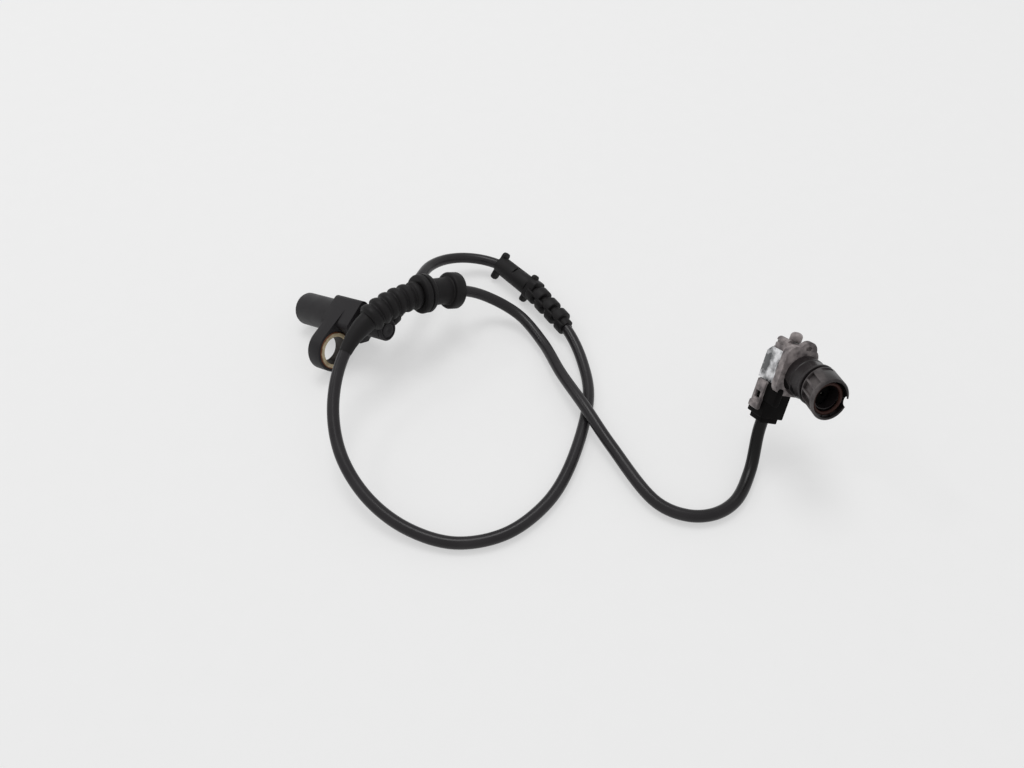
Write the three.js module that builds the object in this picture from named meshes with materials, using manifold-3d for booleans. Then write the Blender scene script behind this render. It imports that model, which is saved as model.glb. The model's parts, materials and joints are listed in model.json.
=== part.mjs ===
// Wheel speed sensor with its moulded lead: a sensing head with a bolt eye, a long round cable
// that lies in one loop, a bellows grommet and a bracket clip on the cable, and a right-angle
// plug with a round, windowed coupling ring on the far end.
// Millimetres, +Z up. The part lies on the plane z = 0, and the origin is on that plane, under
// the middle of the sensing head.
import * as THREE from "three";
import { mergeVertices } from "three/addons/utils/BufferGeometryUtils.js";
import Module from "manifold-3d";

const wasm = await Module();
wasm.setup();

// Fits between pieces
const GAP = 0.3; // two mouldings that touch
const PIN_GAP = 0.25; // small pins and strips in their holes
const CORD_GAP = 0.45; // a bore round the cable, which has flat facets
const CUT = 1; // how far a cutting tool runs past a face

// Cable
const CABLE_D = 5.6;
const CABLE_SIDES = 10;
const CABLE_STEPS = 76;
const CORE_D = 1.6;
const CORE_PITCH = 2.2;

// Sensing head: the barrel lies along X with its tip at x = 0, the eye points to -Y
const BARREL_D = 16.7;
const TIP_FILLET = 1.2;
const TIP_WALL = 1.2;
const FLANGE_AT = 27.3; // tip to the front face of the bolt flange
const FLANGE_T = 7.6;
const EYE_REACH = 17.8; // barrel axis to bolt axis
const EYE_D = 21.4;
const BUSH_OD = 18.6;
const BUSH_ID = 13.4;
const BUSH_PROUD = 0.35;
const BLOCK_W = 16.8;
const BLOCK_R = 4.4;
const BLOCK_FRONT = 3.6; // block ahead of the flange
const BLOCK_BACK = 7.4; // block behind the flange
const GUSSET_W = 11;
const REAR_D = 10.8;
const HEAD_LENGTH = 59;
const HEAD_BORE = 8.2;
const CAP_T = 1.6;
const CAP_PLUG = 3.2;
const CAP_GROOVE = 0.7;

// Cable outlet of the head, square to the barrel
const OUTLET_AT = 50.3; // tip to the outlet axis
const OUTLET_TURN = -18.4; // degrees about the barrel axis, from the line opposite the eye
const OUTLET_D = 10.2;
const OUTLET_LENGTH = 8;
const NIPPLE_D = 8.2;
const NIPPLE_LENGTH = 3.4;
const CABLE_INSET = 4.2; // barrel axis to the cable's end face, in the outlet
const BOOT_LENGTH = 17;
const BOOT_D = 12.6;
const BOOT_COLLAR = 4.4;
const BOOT_RIB_D = 11.4;
const BOOT_TIP_D = 8.8;
const BOOT_RIBS = 4;
const BOOT_RIB_DEPTH = 0.7;

// Sensing element, inside the head
const CARRIER_W = 6.4;
const CARRIER_T = 2.6;
const CARRIER_LENGTH = 37;
const CHIP = [1.3, 5, 4.4];
const MAGNET = [4, 4.8, 2.2];
const STRIP_W = 1.3;
const STRIP_T = 0.5;
const STRIP_PITCH = 3.4;
const STRIP_END = 5.5; // strips stop this far short of the outlet axis

// How the head lies: turned about Z, raised at the rear, rolled about the barrel
const HEAD_TURN = -33.3;
const HEAD_RISE = 16.3;
const HEAD_ROLL = 18.4;

// Bellows grommet, measured along the cable from its tail
const GROMMET_AT = 433; // along the cable from the head end
const TAIL_LENGTH = 11;
const TAIL_D = [7.4, 9.4];
const RIBS = 6;
const RIB_PITCH = 5.3;
const RIB_D = 13.8;
const RIB_ROOT_D = 11;
const COLLAR_D = 19.2;
const COLLAR_W = 5;
const COLLAR_GROOVE = 1.1;
const NECK_D = 13.6;
const NECK_LENGTH = 10.5;
const GROMMET_FLANGE_D = 18.4;
const GROMMET_FLANGE_W = 4.6;
const GROMMET_SIDES = 20;

// Bracket clip with its segmented strain relief, measured along the cable
const CLIP_AT = 96; // along the cable from the head end
const PLATE_W = 15.2;
const PLATE_H = 14.2;
const PLATE_R = 2.2;
const PLATE_T = 2.2;
const SPOOL_D = 9.6;
const SPOOL_LENGTH = 21.4;
const SHOULDER_W = 11.4;
const SHOULDER_T = 3.2;
const RELIEF_CORE_D = 7.2;
const RELIEF_D = [11.2, 10.4];
const SEGMENT_PITCH = 4.1;
const SEGMENTS = 6;
const SEGMENT_SLOT = 0.45; // share of a segment that is slot
const CLIP_SIDES = 24;

// Plug: the cable enters along +Z at the origin, the mouth faces +X
const PLUG_AT = [193, -62, 18]; // cable entry
const PLUG_TURN = -70.8;
const PLUG_RISE = 27.6;
const PLUG_ROLL = -23.5;
const SLEEVE_X = 11;
const SLEEVE_Y = 11.8;
const SLEEVE_R = 2;
const SLEEVE_LENGTH = 19;
const SLEEVE_STEP = 2.6;
const SLEEVE_STEP_W = 8.8;
const CABLE_IN_PLUG = 9; // sleeve's mouth to the cable's end face
const BODY_X = [-5.6, 8.2];
const BODY_W = 11;
const BODY_Z = [15, 37.5];
const BODY_R = 2.4;
const BODY_WALL = 1.4;
const BODY_SLOPE = 5.6; // chamfer along the body's top edge at the back
const NECK_AT = 23.6; // cable entry to the mouth's axis
const PLATE_FACE_W = 16.4;
const PLATE_FACE_Z = [15.6, 38];
const PLATE_FACE_R = 5;
const PLATE_FACE_T = 2.4;
const CONE_D = [17.8, 16];
const CONE_LENGTH = 12;
const NECK_BORE = 11.6;
const THROAT_D = 7;
const TAB_R = 4.4;
const TAB_AT = [1.8, 36.4];
const TAB_SLOT = [1.6, 4.6];
const BAND_D = 17;
const BAND_W = 1.8;
const RING_D = 17.4;
const RING_WALL = 1.15;
const RING_LENGTH = 9.8;
const WINDOWS = 10;
const WINDOW_AT = 1;
const WINDOW_L = 4.2;
const WINDOW_SHARE = 0.74; // of the pitch round the ring
const NOTCH_W = 3.2;
const NOTCH_DEPTH = 2.4;
const CARRIER_D = 9.6;
const CARRIER_NOSE = 8; // contact carrier inside the mouth, short of the rim
const PIN_D = 1.6;
const PIN_PITCH = 4.4;
const PIN_RECESS = 1.2; // contacts stop short of the carrier's face by this
const SEAL_D = 1.5;
const COVER_T = 1;
const COVER_Z = [18.5, 31];
const LUG_D = 5;
const LUG_H = 3.4;
const LUG_AT = [0, 2];
const ARM_T = 1.4;
const ARM_W = 6;
const ARM_Z = [5, 18.6];
const ARM_WINDOW = 3.4;

// The cable's route between its two ends, chosen by hand: centre points as the lead lies
const ROUTE = [
  [32.4, 28, 20.1], [36.5, 41.4, 15.9], [43.7, 50.7, 12], [53.3, 55.2, 9.4], [64, 55.2, 7.9],
  [73.9, 50.9, 7.7], [82.7, 42.9, 7.8], [90.6, 30.6, 7.9], [98.4, 19.8, 7.2], [109.5, 3.3, 5],
  [115.9, -17, 3.1], [117.1, -38.5, 3], [105.3, -79.5, 3], [93.8, -98.1, 3], [76.7, -111.5, 3],
  [55.7, -115.5, 3.1], [35.2, -109.6, 5], [18.2, -97.6, 9], [5.7, -80.5, 15], [0.1, -61, 21],
  [0.9, -40.5, 27.6], [7.2, -25.1, 33.6], [18.5, -11.8, 36.8], [31.5, -0, 34.4],
  [55.6, 17.3, 21.2], [68.9, 20.3, 13], [84, 13.7, 7.1], [95.9, -3.4, 4.9], [104.3, -25.5, 6.9],
  [114.2, -46.5, 8.5], [125.2, -67.5, 6.4], [143.5, -96.3, 3.8], [156.1, -102.4, 3.3],
  [168.1, -101.5, 3], [178.3, -95, 3], [187, -80.3, 4.4],
];

const rad = THREE.MathUtils.degToRad;

// A closed geometry as a solid, and back
function solid(geometry) {
  const open = geometry.index ? geometry.toNonIndexed() : geometry.clone();
  open.deleteAttribute("normal");
  open.deleteAttribute("uv");
  const merged = mergeVertices(open, 1e-4);
  const mesh = new wasm.Mesh({
    numProp: 3,
    vertProperties: merged.attributes.position.array,
    triVerts: new Uint32Array(merged.index.array),
  });
  return new wasm.Manifold(mesh);
}

function geometryOf(shape) {
  const mesh = shape.getMesh();
  const geometry = new THREE.BufferGeometry();
  geometry.setAttribute("position", new THREE.BufferAttribute(mesh.vertProperties, 3));
  geometry.setIndex(new THREE.BufferAttribute(mesh.triVerts, 1));
  const flat = geometry.toNonIndexed();
  flat.computeVertexNormals();
  return flat;
}

const join = (first, ...others) => others.reduce((all, next) => all.add(next), first);
const cut = (first, ...tools) => tools.reduce((all, next) => all.subtract(next), first);

// Forms. Each one is a closed solid in the frame of the piece it belongs to.
function turned(profile, sides = 32) {
  const points = profile.map(([x, radius]) => new THREE.Vector2(radius, x));
  return solid(new THREE.LatheGeometry(points, sides).rotateZ(-Math.PI / 2));
}

function rod(diameter, from, to, sides = 24) {
  return turned([[from, 0], [from, diameter / 2], [to, diameter / 2], [to, 0]], sides);
}

function box(from, to) {
  const size = to.map((high, i) => high - from[i]);
  const middle = to.map((high, i) => (high + from[i]) / 2);
  return solid(new THREE.BoxGeometry(...size).translate(...middle));
}

// The outline's own axes, then the way it is pushed, as the axes of the piece
const ALONG_X = new THREE.Matrix4().makeBasis(
  new THREE.Vector3(0, 1, 0),
  new THREE.Vector3(0, 0, 1),
  new THREE.Vector3(1, 0, 0),
);
const ALONG_Z = new THREE.Matrix4();
const ALONG_Y = new THREE.Matrix4().makeBasis(
  new THREE.Vector3(0, 0, 1),
  new THREE.Vector3(1, 0, 0),
  new THREE.Vector3(0, 1, 0),
);

function pushed(shape, from, to, basis) {
  const options = { depth: to - from, bevelEnabled: false, curveSegments: 8 };
  const geometry = new THREE.ExtrudeGeometry(shape, options).translate(0, 0, from);
  return solid(geometry.applyMatrix4(basis));
}

function roundedRect([a0, b0], [a1, b1], radius) {
  const shape = new THREE.Shape();
  shape.moveTo(a0 + radius, b0);
  shape.lineTo(a1 - radius, b0);
  shape.absarc(a1 - radius, b0 + radius, radius, -Math.PI / 2, 0, false);
  shape.lineTo(a1, b1 - radius);
  shape.absarc(a1 - radius, b1 - radius, radius, 0, Math.PI / 2, false);
  shape.lineTo(a0 + radius, b1);
  shape.absarc(a0 + radius, b1 - radius, radius, Math.PI / 2, Math.PI, false);
  shape.lineTo(a0, b0 + radius);
  shape.absarc(a0 + radius, b0 + radius, radius, Math.PI, 1.5 * Math.PI, false);
  return shape;
}

function polygon(points) {
  return new THREE.Shape(points.map(([a, b]) => new THREE.Vector2(a, b)));
}

// Materials, with the colours of the real pieces
const finish = (color, roughness, metalness = 0) =>
  new THREE.MeshStandardMaterial({ color, roughness, metalness });
const housingPlastic = finish(0x2b2a2c, 0.62);
const rubber = finish(0x1b1b1c, 0.78);
const cableJacket = finish(0x1a1a1c, 0.42);
const glossPlastic = finish(0x232526, 0.22);
const plugPlastic = finish(0x1e1d1e, 0.5);
const bushSteel = finish(0xa8946f, 0.5, 0.85);
const contactMetal = finish(0xc9c4b4, 0.3, 1);
const magnetBlack = finish(0x4a4a4e, 0.4, 0.8);
const chipBlack = finish(0x151515, 0.4);
const coreJackets = [finish(0x5b3a24, 0.5), finish(0x1f3f7a, 0.5)];
const sealRubber = finish(0x7a3a22, 0.6);

function piece(name, shape, material) {
  const geometry = shape.isBufferGeometry ? shape : geometryOf(shape);
  const mesh = new THREE.Mesh(geometry, material);
  mesh.name = name;
  return mesh;
}

// Sensing head
const flangeBack = FLANGE_AT + FLANGE_T;
const blockFront = FLANGE_AT - BLOCK_FRONT;
const blockBack = flangeBack + BLOCK_BACK;
const eyeY = -EYE_REACH;

// Turns a form made along X so that it runs out of the head's cable outlet
function towardOutlet(shape) {
  return shape.rotate([0, 0, 90]).rotate([OUTLET_TURN, 0, 0]).translate([OUTLET_AT, 0, 0]);
}

function eyeOutline() {
  const shape = new THREE.Shape();
  const half = BLOCK_W / 2;
  const radius = EYE_D / 2;
  shape.moveTo(0, -half);
  shape.lineTo(0, half);
  shape.lineTo(eyeY, radius);
  shape.absarc(eyeY, 0, radius, Math.PI / 2, 1.5 * Math.PI, false);
  shape.lineTo(0, -half);
  return shape;
}

function sensorHousing() {
  const barrel = turned([
    [0, 0],
    [0, BARREL_D / 2 - TIP_FILLET],
    [TIP_FILLET * 0.3, BARREL_D / 2 - TIP_FILLET * 0.3],
    [TIP_FILLET, BARREL_D / 2],
    [FLANGE_AT, BARREL_D / 2],
    [FLANGE_AT, 0],
  ]);
  const half = BLOCK_W / 2;
  const block = pushed(roundedRect([-half, -half], [half, half], BLOCK_R), blockFront, blockBack, ALONG_X);
  const flange = pushed(eyeOutline(), FLANGE_AT, flangeBack, ALONG_X);
  const gussetFoot = eyeY + BUSH_OD / 2 + GAP;
  const gusset = pushed(
    polygon([
      [-GUSSET_W / 2, flangeBack - CUT],
      [GUSSET_W / 2, flangeBack - CUT],
      [GUSSET_W / 2, flangeBack],
      [-GUSSET_W / 2, flangeBack],
    ]),
    gussetFoot,
    0,
    ALONG_Y,
  );
  const slope = pushed(
    polygon([
      [blockBack, -half + BLOCK_R],
      [blockBack, -half],
      [flangeBack, gussetFoot],
      [flangeBack - CUT, gussetFoot],
      [flangeBack - CUT, -half + BLOCK_R],
    ]),
    -GUSSET_W / 2,
    GUSSET_W / 2,
    ALONG_Z,
  );
  const rear = rod(REAR_D, blockBack - CUT, HEAD_LENGTH - CAP_T - GAP, 28);
  const outlet = towardOutlet(
    turned(
      [
        [0, 0],
        [0, OUTLET_D / 2],
        [OUTLET_LENGTH, OUTLET_D / 2],
        [OUTLET_LENGTH, NIPPLE_D / 2],
        [OUTLET_LENGTH + NIPPLE_LENGTH, NIPPLE_D / 2],
        [OUTLET_LENGTH + NIPPLE_LENGTH, 0],
      ],
      28,
    ),
  );
  const body = join(barrel, block, flange, gusset, slope, rear, outlet);
  const bore = rod(HEAD_BORE, TIP_WALL, HEAD_LENGTH);
  const cableBore = towardOutlet(rod(CABLE_D + 2 * CORD_GAP, 0, OUTLET_LENGTH + NIPPLE_LENGTH + CUT));
  const eye = rod(BUSH_OD + 2 * GAP, FLANGE_AT - CUT, flangeBack + CUT, 40).translate([0, eyeY, 0]);
  return cut(body, bore, cableBore, eye);
}

function mountingBush() {
  const from = FLANGE_AT - BUSH_PROUD;
  const to = flangeBack + BUSH_PROUD;
  const chamfer = 0.5;
  const ring = turned(
    [
      [from, BUSH_ID / 2 + chamfer],
      [from, BUSH_OD / 2 - chamfer],
      [from + chamfer, BUSH_OD / 2],
      [to - chamfer, BUSH_OD / 2],
      [to, BUSH_OD / 2 - chamfer],
      [to, BUSH_ID / 2 + chamfer],
      [to - chamfer, BUSH_ID / 2],
      [from + chamfer, BUSH_ID / 2],
      [from, BUSH_ID / 2 + chamfer],
    ],
    36,
  );
  return ring.translate([0, eyeY, 0]);
}

function rearCap() {
  const face = HEAD_LENGTH;
  const seat = HEAD_LENGTH - CAP_T;
  return turned([
    [seat - CAP_PLUG, 0],
    [seat - CAP_PLUG, HEAD_BORE / 2 - GAP],
    [seat, HEAD_BORE / 2 - GAP],
    [seat, REAR_D / 2],
    [face - CAP_GROOVE, REAR_D / 2],
    [face, REAR_D / 2 - CAP_GROOVE],
    [face, HEAD_BORE / 2],
    [face - CAP_GROOVE, HEAD_BORE / 2 - CAP_GROOVE / 2],
    [face - CAP_GROOVE, HEAD_BORE / 2 - CAP_GROOVE * 1.5],
    [face, HEAD_BORE / 2 - CAP_GROOVE * 2],
    [face, 0],
  ]);
}

const carrierFrom = TIP_WALL + GAP + CHIP[0] + GAP;
const stripTop = CARRIER_T / 2 + GAP + STRIP_T;

// Everything inside stands on the carrier, one on the other with the usual gap
function elementCarrier() {
  const bar = box(
    [carrierFrom, -CARRIER_W / 2, -CARRIER_T / 2],
    [carrierFrom + CARRIER_LENGTH, CARRIER_W / 2, CARRIER_T / 2],
  );
  const pocket = box(
    [carrierFrom + 1, -MAGNET[1] / 2 - GAP, CARRIER_T / 2 - MAGNET[2] + GAP],
    [carrierFrom + 1 + MAGNET[0] + 2 * GAP, MAGNET[1] / 2 + GAP, CARRIER_T / 2 + CUT],
  );
  return cut(bar, pocket);
}

function sensingChip() {
  return box(
    [TIP_WALL + GAP, -CHIP[1] / 2, -CHIP[2] / 2],
    [TIP_WALL + GAP + CHIP[0], CHIP[1] / 2, CHIP[2] / 2],
  );
}

function biasMagnet() {
  const from = carrierFrom + 1 + GAP;
  const low = CARRIER_T / 2 - MAGNET[2] + 2 * GAP;
  return box([from, -MAGNET[1] / 2, low], [from + MAGNET[0], MAGNET[1] / 2, low + MAGNET[2] - GAP]);
}

function leadStrip(side) {
  const middle = (side * STRIP_PITCH) / 2;
  const from = carrierFrom + 1 + MAGNET[0] + 3 * GAP;
  return box(
    [from, middle - STRIP_W / 2, stripTop - STRIP_T],
    [OUTLET_AT - STRIP_END, middle + STRIP_W / 2, stripTop],
  );
}

// A core carries on from the end of its strip and bends into the end of the cable
function headCore(side) {
  const y = (side * STRIP_PITCH) / 2;
  const x = OUTLET_AT - (side * CORE_PITCH) / 2;
  const height = stripTop - STRIP_T / 2;
  const turn = rad(OUTLET_TURN);
  const inOutlet = (reach) => new THREE.Vector3(x, reach * Math.cos(turn), reach * Math.sin(turn));
  const way = new THREE.CatmullRomCurve3([
    new THREE.Vector3(OUTLET_AT - STRIP_END + GAP, y, height),
    new THREE.Vector3(OUTLET_AT - STRIP_END + CORE_D, y, height),
    inOutlet(CABLE_INSET - CORE_D),
    inOutlet(CABLE_INSET - GAP),
  ]);
  return tube(way, CORE_D, 8, 8);
}

function headBoot() {
  const seat = OUTLET_LENGTH + GAP;
  const socket = OUTLET_LENGTH + NIPPLE_LENGTH + GAP;
  const end = seat + BOOT_LENGTH;
  const ribsFrom = seat + BOOT_COLLAR;
  const pitch = (end - ribsFrom) / BOOT_RIBS;
  const outline = [
    [seat, NIPPLE_D / 2 + GAP],
    [seat, BOOT_D / 2 - 0.8],
    [seat + 0.8, BOOT_D / 2],
    [ribsFrom - 0.4, BOOT_D / 2],
  ];
  for (let i = 0; i < BOOT_RIBS; i++) {
    const share = (i + 1) / BOOT_RIBS;
    const radius = THREE.MathUtils.lerp(BOOT_RIB_D, BOOT_TIP_D, share) / 2;
    const from = ribsFrom + i * pitch;
    outline.push([from + pitch * 0.1, radius - BOOT_RIB_DEPTH]);
    outline.push([from + pitch * 0.45, radius - BOOT_RIB_DEPTH]);
    outline.push([from + pitch * 0.55, radius]);
    outline.push([from + pitch, radius]);
  }
  const bore = CABLE_D / 2 + CORD_GAP;
  outline.push([end, bore], [socket, bore], [socket, NIPPLE_D / 2 + GAP], [seat, NIPPLE_D / 2 + GAP]);
  return towardOutlet(turned(outline, 20));
}

// A round bar along a curve
function tube(curve, diameter, steps, sides) {
  const section = new THREE.Shape();
  for (let i = 0; i < sides; i++) {
    const angle = (2 * Math.PI * i) / sides;
    const method = i === 0 ? "moveTo" : "lineTo";
    section[method]((Math.cos(angle) * diameter) / 2, (Math.sin(angle) * diameter) / 2);
  }
  return new THREE.ExtrudeGeometry(section, { steps, bevelEnabled: false, extrudePath: curve });
}

const head = new THREE.Group();
head.add(
  piece("sensor_housing", sensorHousing(), housingPlastic),
  piece("mounting_bush", mountingBush(), bushSteel),
  piece("rear_cap", rearCap(), housingPlastic),
  piece("head_boot", headBoot(), rubber),
  piece("element_carrier", elementCarrier(), plugPlastic),
  piece("sensing_chip", sensingChip(), chipBlack),
  piece("bias_magnet", biasMagnet(), magnetBlack),
  piece("lead_strip_1", leadStrip(-1), contactMetal),
  piece("lead_strip_2", leadStrip(1), contactMetal),
  piece("head_core_1", headCore(-1), coreJackets[0]),
  piece("head_core_2", headCore(1), coreJackets[1]),
);
head.rotation.set(rad(HEAD_ROLL), -rad(HEAD_RISE), rad(HEAD_TURN), "ZYX");
head.updateMatrixWorld(true);
const headBox = new THREE.Box3().setFromObject(head, true);
const headMiddle = headBox.getCenter(new THREE.Vector3());
head.position.set(-headMiddle.x, -headMiddle.y, -headBox.min.z);
head.updateMatrixWorld(true);

// Plug
const bodyFront = BODY_X[1];
const plateBack = bodyFront;
const plateFront = plateBack + PLATE_FACE_T;
const coneEnd = plateFront + CONE_LENGTH;
const bandEnd = coneEnd + BAND_W;
const ringFrom = bandEnd + GAP;
const ringEnd = ringFrom + RING_LENGTH;
const spigotEnd = ringFrom + WINDOW_AT + WINDOW_L + 1.2;
const spigotD = RING_D - 2 * RING_WALL - 2 * GAP;
const carrierEnd = ringEnd - CARRIER_NOSE;
const atNeck = (shape) => shape.translate([0, 0, NECK_AT]);

function plugHousing() {
  const half = BODY_W / 2;
  const upright = pushed(roundedRect([BODY_X[0], -half], [BODY_X[1], half], BODY_R), ...BODY_Z, ALONG_Z);
  const profile = polygon([
    [BODY_Z[0], BODY_X[0]],
    [BODY_Z[0], BODY_X[1]],
    [BODY_Z[1], BODY_X[1]],
    [BODY_Z[1], BODY_X[0] + BODY_SLOPE],
    [BODY_Z[1] - BODY_SLOPE, BODY_X[0]],
  ]);
  const body = upright.intersect(pushed(profile, -half, half, ALONG_Y));
  const plate = pushed(
    roundedRect([-PLATE_FACE_W / 2, PLATE_FACE_Z[0]], [PLATE_FACE_W / 2, PLATE_FACE_Z[1]], PLATE_FACE_R),
    plateBack - CUT,
    plateFront,
    ALONG_X,
  );
  const neck = atNeck(
    turned(
      [
        [plateFront - CUT, 0],
        [plateFront - CUT, CONE_D[0] / 2],
        [plateFront, CONE_D[0] / 2],
        [coneEnd, CONE_D[1] / 2],
        [coneEnd, BAND_D / 2],
        [bandEnd, BAND_D / 2],
        [bandEnd, spigotD / 2],
        [spigotEnd, spigotD / 2],
        [spigotEnd, 0],
      ],
      36,
    ),
  );
  const tab = pushed(
    new THREE.Shape().absarc(TAB_AT[0], TAB_AT[1], TAB_R, 0, 2 * Math.PI, false),
    plateBack,
    plateFront,
    ALONG_X,
  );
  const tabSlot = box(
    [plateBack - CUT, TAB_AT[0] + 0.6, TAB_AT[1] - TAB_SLOT[1] / 2],
    [plateFront + CUT, TAB_AT[0] + 0.6 + TAB_SLOT[0], TAB_AT[1] + TAB_SLOT[1] / 2],
  );
  const cavity = box(
    [BODY_X[0] + BODY_WALL, -half + BODY_WALL, BODY_Z[0] - CUT],
    [BODY_X[1] - BODY_WALL, half - BODY_WALL, BODY_Z[1] - BODY_SLOPE],
  );
  const throat = atNeck(rod(THROAT_D, 0, plateFront, 24));
  const bore = atNeck(rod(NECK_BORE, plateBack + PLATE_FACE_T / 4, spigotEnd + CUT, 28));
  return cut(join(body, plate, tab, neck), cavity, throat, bore, tabSlot);
}

function entrySleeve() {
  const inner = BODY_WALL + GAP;
  const low = [BODY_X[0] + inner, -BODY_W / 2 + inner];
  const high = [BODY_X[1] - inner, BODY_W / 2 - inner];
  const shaft = pushed(
    roundedRect([-SLEEVE_X / 2, -SLEEVE_Y / 2], [SLEEVE_X / 2, SLEEVE_Y / 2], SLEEVE_R),
    SLEEVE_STEP,
    BODY_Z[0] - GAP,
    ALONG_Z,
  );
  const stepHalf = SLEEVE_STEP_W / 2;
  const step = pushed(
    roundedRect([-stepHalf, -stepHalf], [stepHalf, stepHalf], SLEEVE_R),
    0,
    SLEEVE_STEP + CUT,
    ALONG_Z,
  );
  const spigot = pushed(
    roundedRect(low, high, SLEEVE_R / 2),
    BODY_Z[0] - GAP - CUT,
    SLEEVE_LENGTH,
    ALONG_Z,
  );
  const cableHole = rod(CABLE_D + 2 * CORD_GAP, -CUT, CABLE_IN_PLUG + GAP).rotate([0, -90, 0]);
  const coreHole = rod(CORE_PITCH + CORE_D + 2 * GAP, 0, SLEEVE_LENGTH + CUT, 20).rotate([0, -90, 0]);
  return cut(join(shaft, step, spigot), cableHole, coreHole);
}

function couplingRing() {
  const outer = RING_D / 2;
  const inner = outer - RING_WALL;
  const ring = turned(
    [
      [ringFrom, inner],
      [ringFrom, outer - 0.4],
      [ringFrom + 0.4, outer],
      [ringEnd - 0.4, outer],
      [ringEnd, outer - 0.4],
      [ringEnd, inner],
      [ringFrom, inner],
    ],
    40,
  );
  const pitch = (2 * Math.PI * outer) / WINDOWS;
  const half = (pitch * WINDOW_SHARE) / 2;
  const from = ringFrom + WINDOW_AT;
  const tools = [];
  for (let i = 0; i < WINDOWS; i++) {
    const window = box([from, -half, inner - CUT], [from + WINDOW_L, half, outer + CUT]);
    tools.push(window.rotate([(360 * (i + 0.5)) / WINDOWS, 0, 0]));
  }
  tools.push(
    box([ringEnd - NOTCH_DEPTH, 0, -NOTCH_W / 2], [ringEnd + CUT, outer + CUT, NOTCH_W / 2]),
  );
  return atNeck(cut(ring, ...tools));
}

function contactCarrier() {
  const outer = NECK_BORE / 2 - GAP;
  const block = turned(
    [
      [plateFront, 0],
      [plateFront, outer],
      [bandEnd, outer],
      [bandEnd, CARRIER_D / 2],
      [carrierEnd, CARRIER_D / 2],
      [carrierEnd, 0],
    ],
    28,
  );
  const hole = rod(PIN_D + 2 * PIN_GAP, plateFront - CUT, carrierEnd + CUT, 12);
  const holes = [-1, 1].map((side) => hole.translate([0, (side * PIN_PITCH) / 2, 0]));
  return atNeck(cut(block, ...holes));
}

function contactPin(side) {
  const end = carrierEnd - PIN_RECESS;
  const pin = turned(
    [
      [CORE_D / 2 + GAP, 0],
      [CORE_D / 2 + GAP, PIN_D / 2],
      [end - 0.6, PIN_D / 2],
      [end, PIN_D / 4],
      [end, 0],
    ],
    12,
  );
  return atNeck(pin.translate([0, (side * PIN_PITCH) / 2, 0]));
}

// The seal sits in the corner between the spigot's end and the ring
function mouthSeal() {
  const middle = RING_D / 2 - RING_WALL - GAP - SEAL_D / 2;
  const points = [];
  for (let i = 0; i <= 8; i++) {
    const angle = (2 * Math.PI * i) / 8;
    const x = spigotEnd + GAP + SEAL_D / 2 - (Math.cos(angle) * SEAL_D) / 2;
    points.push([x, middle + (Math.sin(angle) * SEAL_D) / 2]);
  }
  return atNeck(turned(points, 24));
}

// A core rises from the cable's end and meets the back of its pin
function plugCore(side) {
  const y = (side * CORE_PITCH) / 2;
  const pinY = (side * PIN_PITCH) / 2;
  const bend = new THREE.CatmullRomCurve3([
    new THREE.Vector3(0, y, CABLE_IN_PLUG + GAP),
    new THREE.Vector3(0, y, SLEEVE_LENGTH),
    new THREE.Vector3(0, (y + pinY) / 2, (SLEEVE_LENGTH + NECK_AT) / 2),
    new THREE.Vector3(0, pinY, NECK_AT - PIN_D / 2),
    new THREE.Vector3(0, pinY, NECK_AT + PIN_D / 2),
  ]);
  return tube(bend, CORE_D, 8, 8);
}

// A springy cover that wraps the back and both sides of the body
function bodyCover() {
  const half = BODY_W / 2 + GAP;
  const back = BODY_X[0] - GAP;
  const front = BODY_X[1] - 3;
  const outer = roundedRect([back - COVER_T, -half - COVER_T], [front, half + COVER_T], 2);
  const inner = roundedRect([back, -half], [front + 3 * CUT, half], BODY_R);
  const shell = cut(
    pushed(outer, ...COVER_Z, ALONG_Z),
    pushed(inner, COVER_Z[0] - CUT, COVER_Z[1] + CUT, ALONG_Z),
  );
  const slotHeight = (COVER_Z[1] - COVER_Z[0]) * 0.5;
  const slotLow = (COVER_Z[0] + COVER_Z[1] - slotHeight) / 2;
  const slotReach = half + COVER_T + CUT;
  return cut(shell, box([0, -slotReach, slotLow], [1.4, slotReach, slotLow + slotHeight]));
}

function topLug() {
  const foot = BODY_Z[1] + GAP;
  const lug = turned(
    [
      [foot, 0],
      [foot, LUG_D / 2],
      [foot + LUG_H * 0.6, LUG_D / 2],
      [foot + LUG_H * 0.9, LUG_D * 0.34],
      [foot + LUG_H, 0],
    ],
    20,
  );
  return lug.rotate([0, -90, 0]).translate([LUG_AT[0], LUG_AT[1], 0]);
}

function latchArm() {
  const root = -SLEEVE_Y / 2 - GAP;
  const arm = pushed(
    polygon([
      [root, ARM_Z[1] - 3],
      [root, ARM_Z[0]],
      [root - ARM_T * 0.6, ARM_Z[0]],
      [root - ARM_T * 1.5, ARM_Z[0] + 3],
      [root - ARM_T, ARM_Z[0] + 5],
      [root - ARM_T, ARM_Z[1] - 3],
    ]),
    -ARM_W / 2,
    ARM_W / 2,
    ALONG_X,
  );
  const middle = (ARM_Z[0] + ARM_Z[1]) / 2;
  const window = box(
    [-ARM_W / 2 + 1.3, root - 2 * ARM_T, middle - ARM_WINDOW / 2],
    [ARM_W / 2 - 1.3, root + CUT, middle + ARM_WINDOW / 2],
  );
  return cut(arm, window);
}

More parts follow.
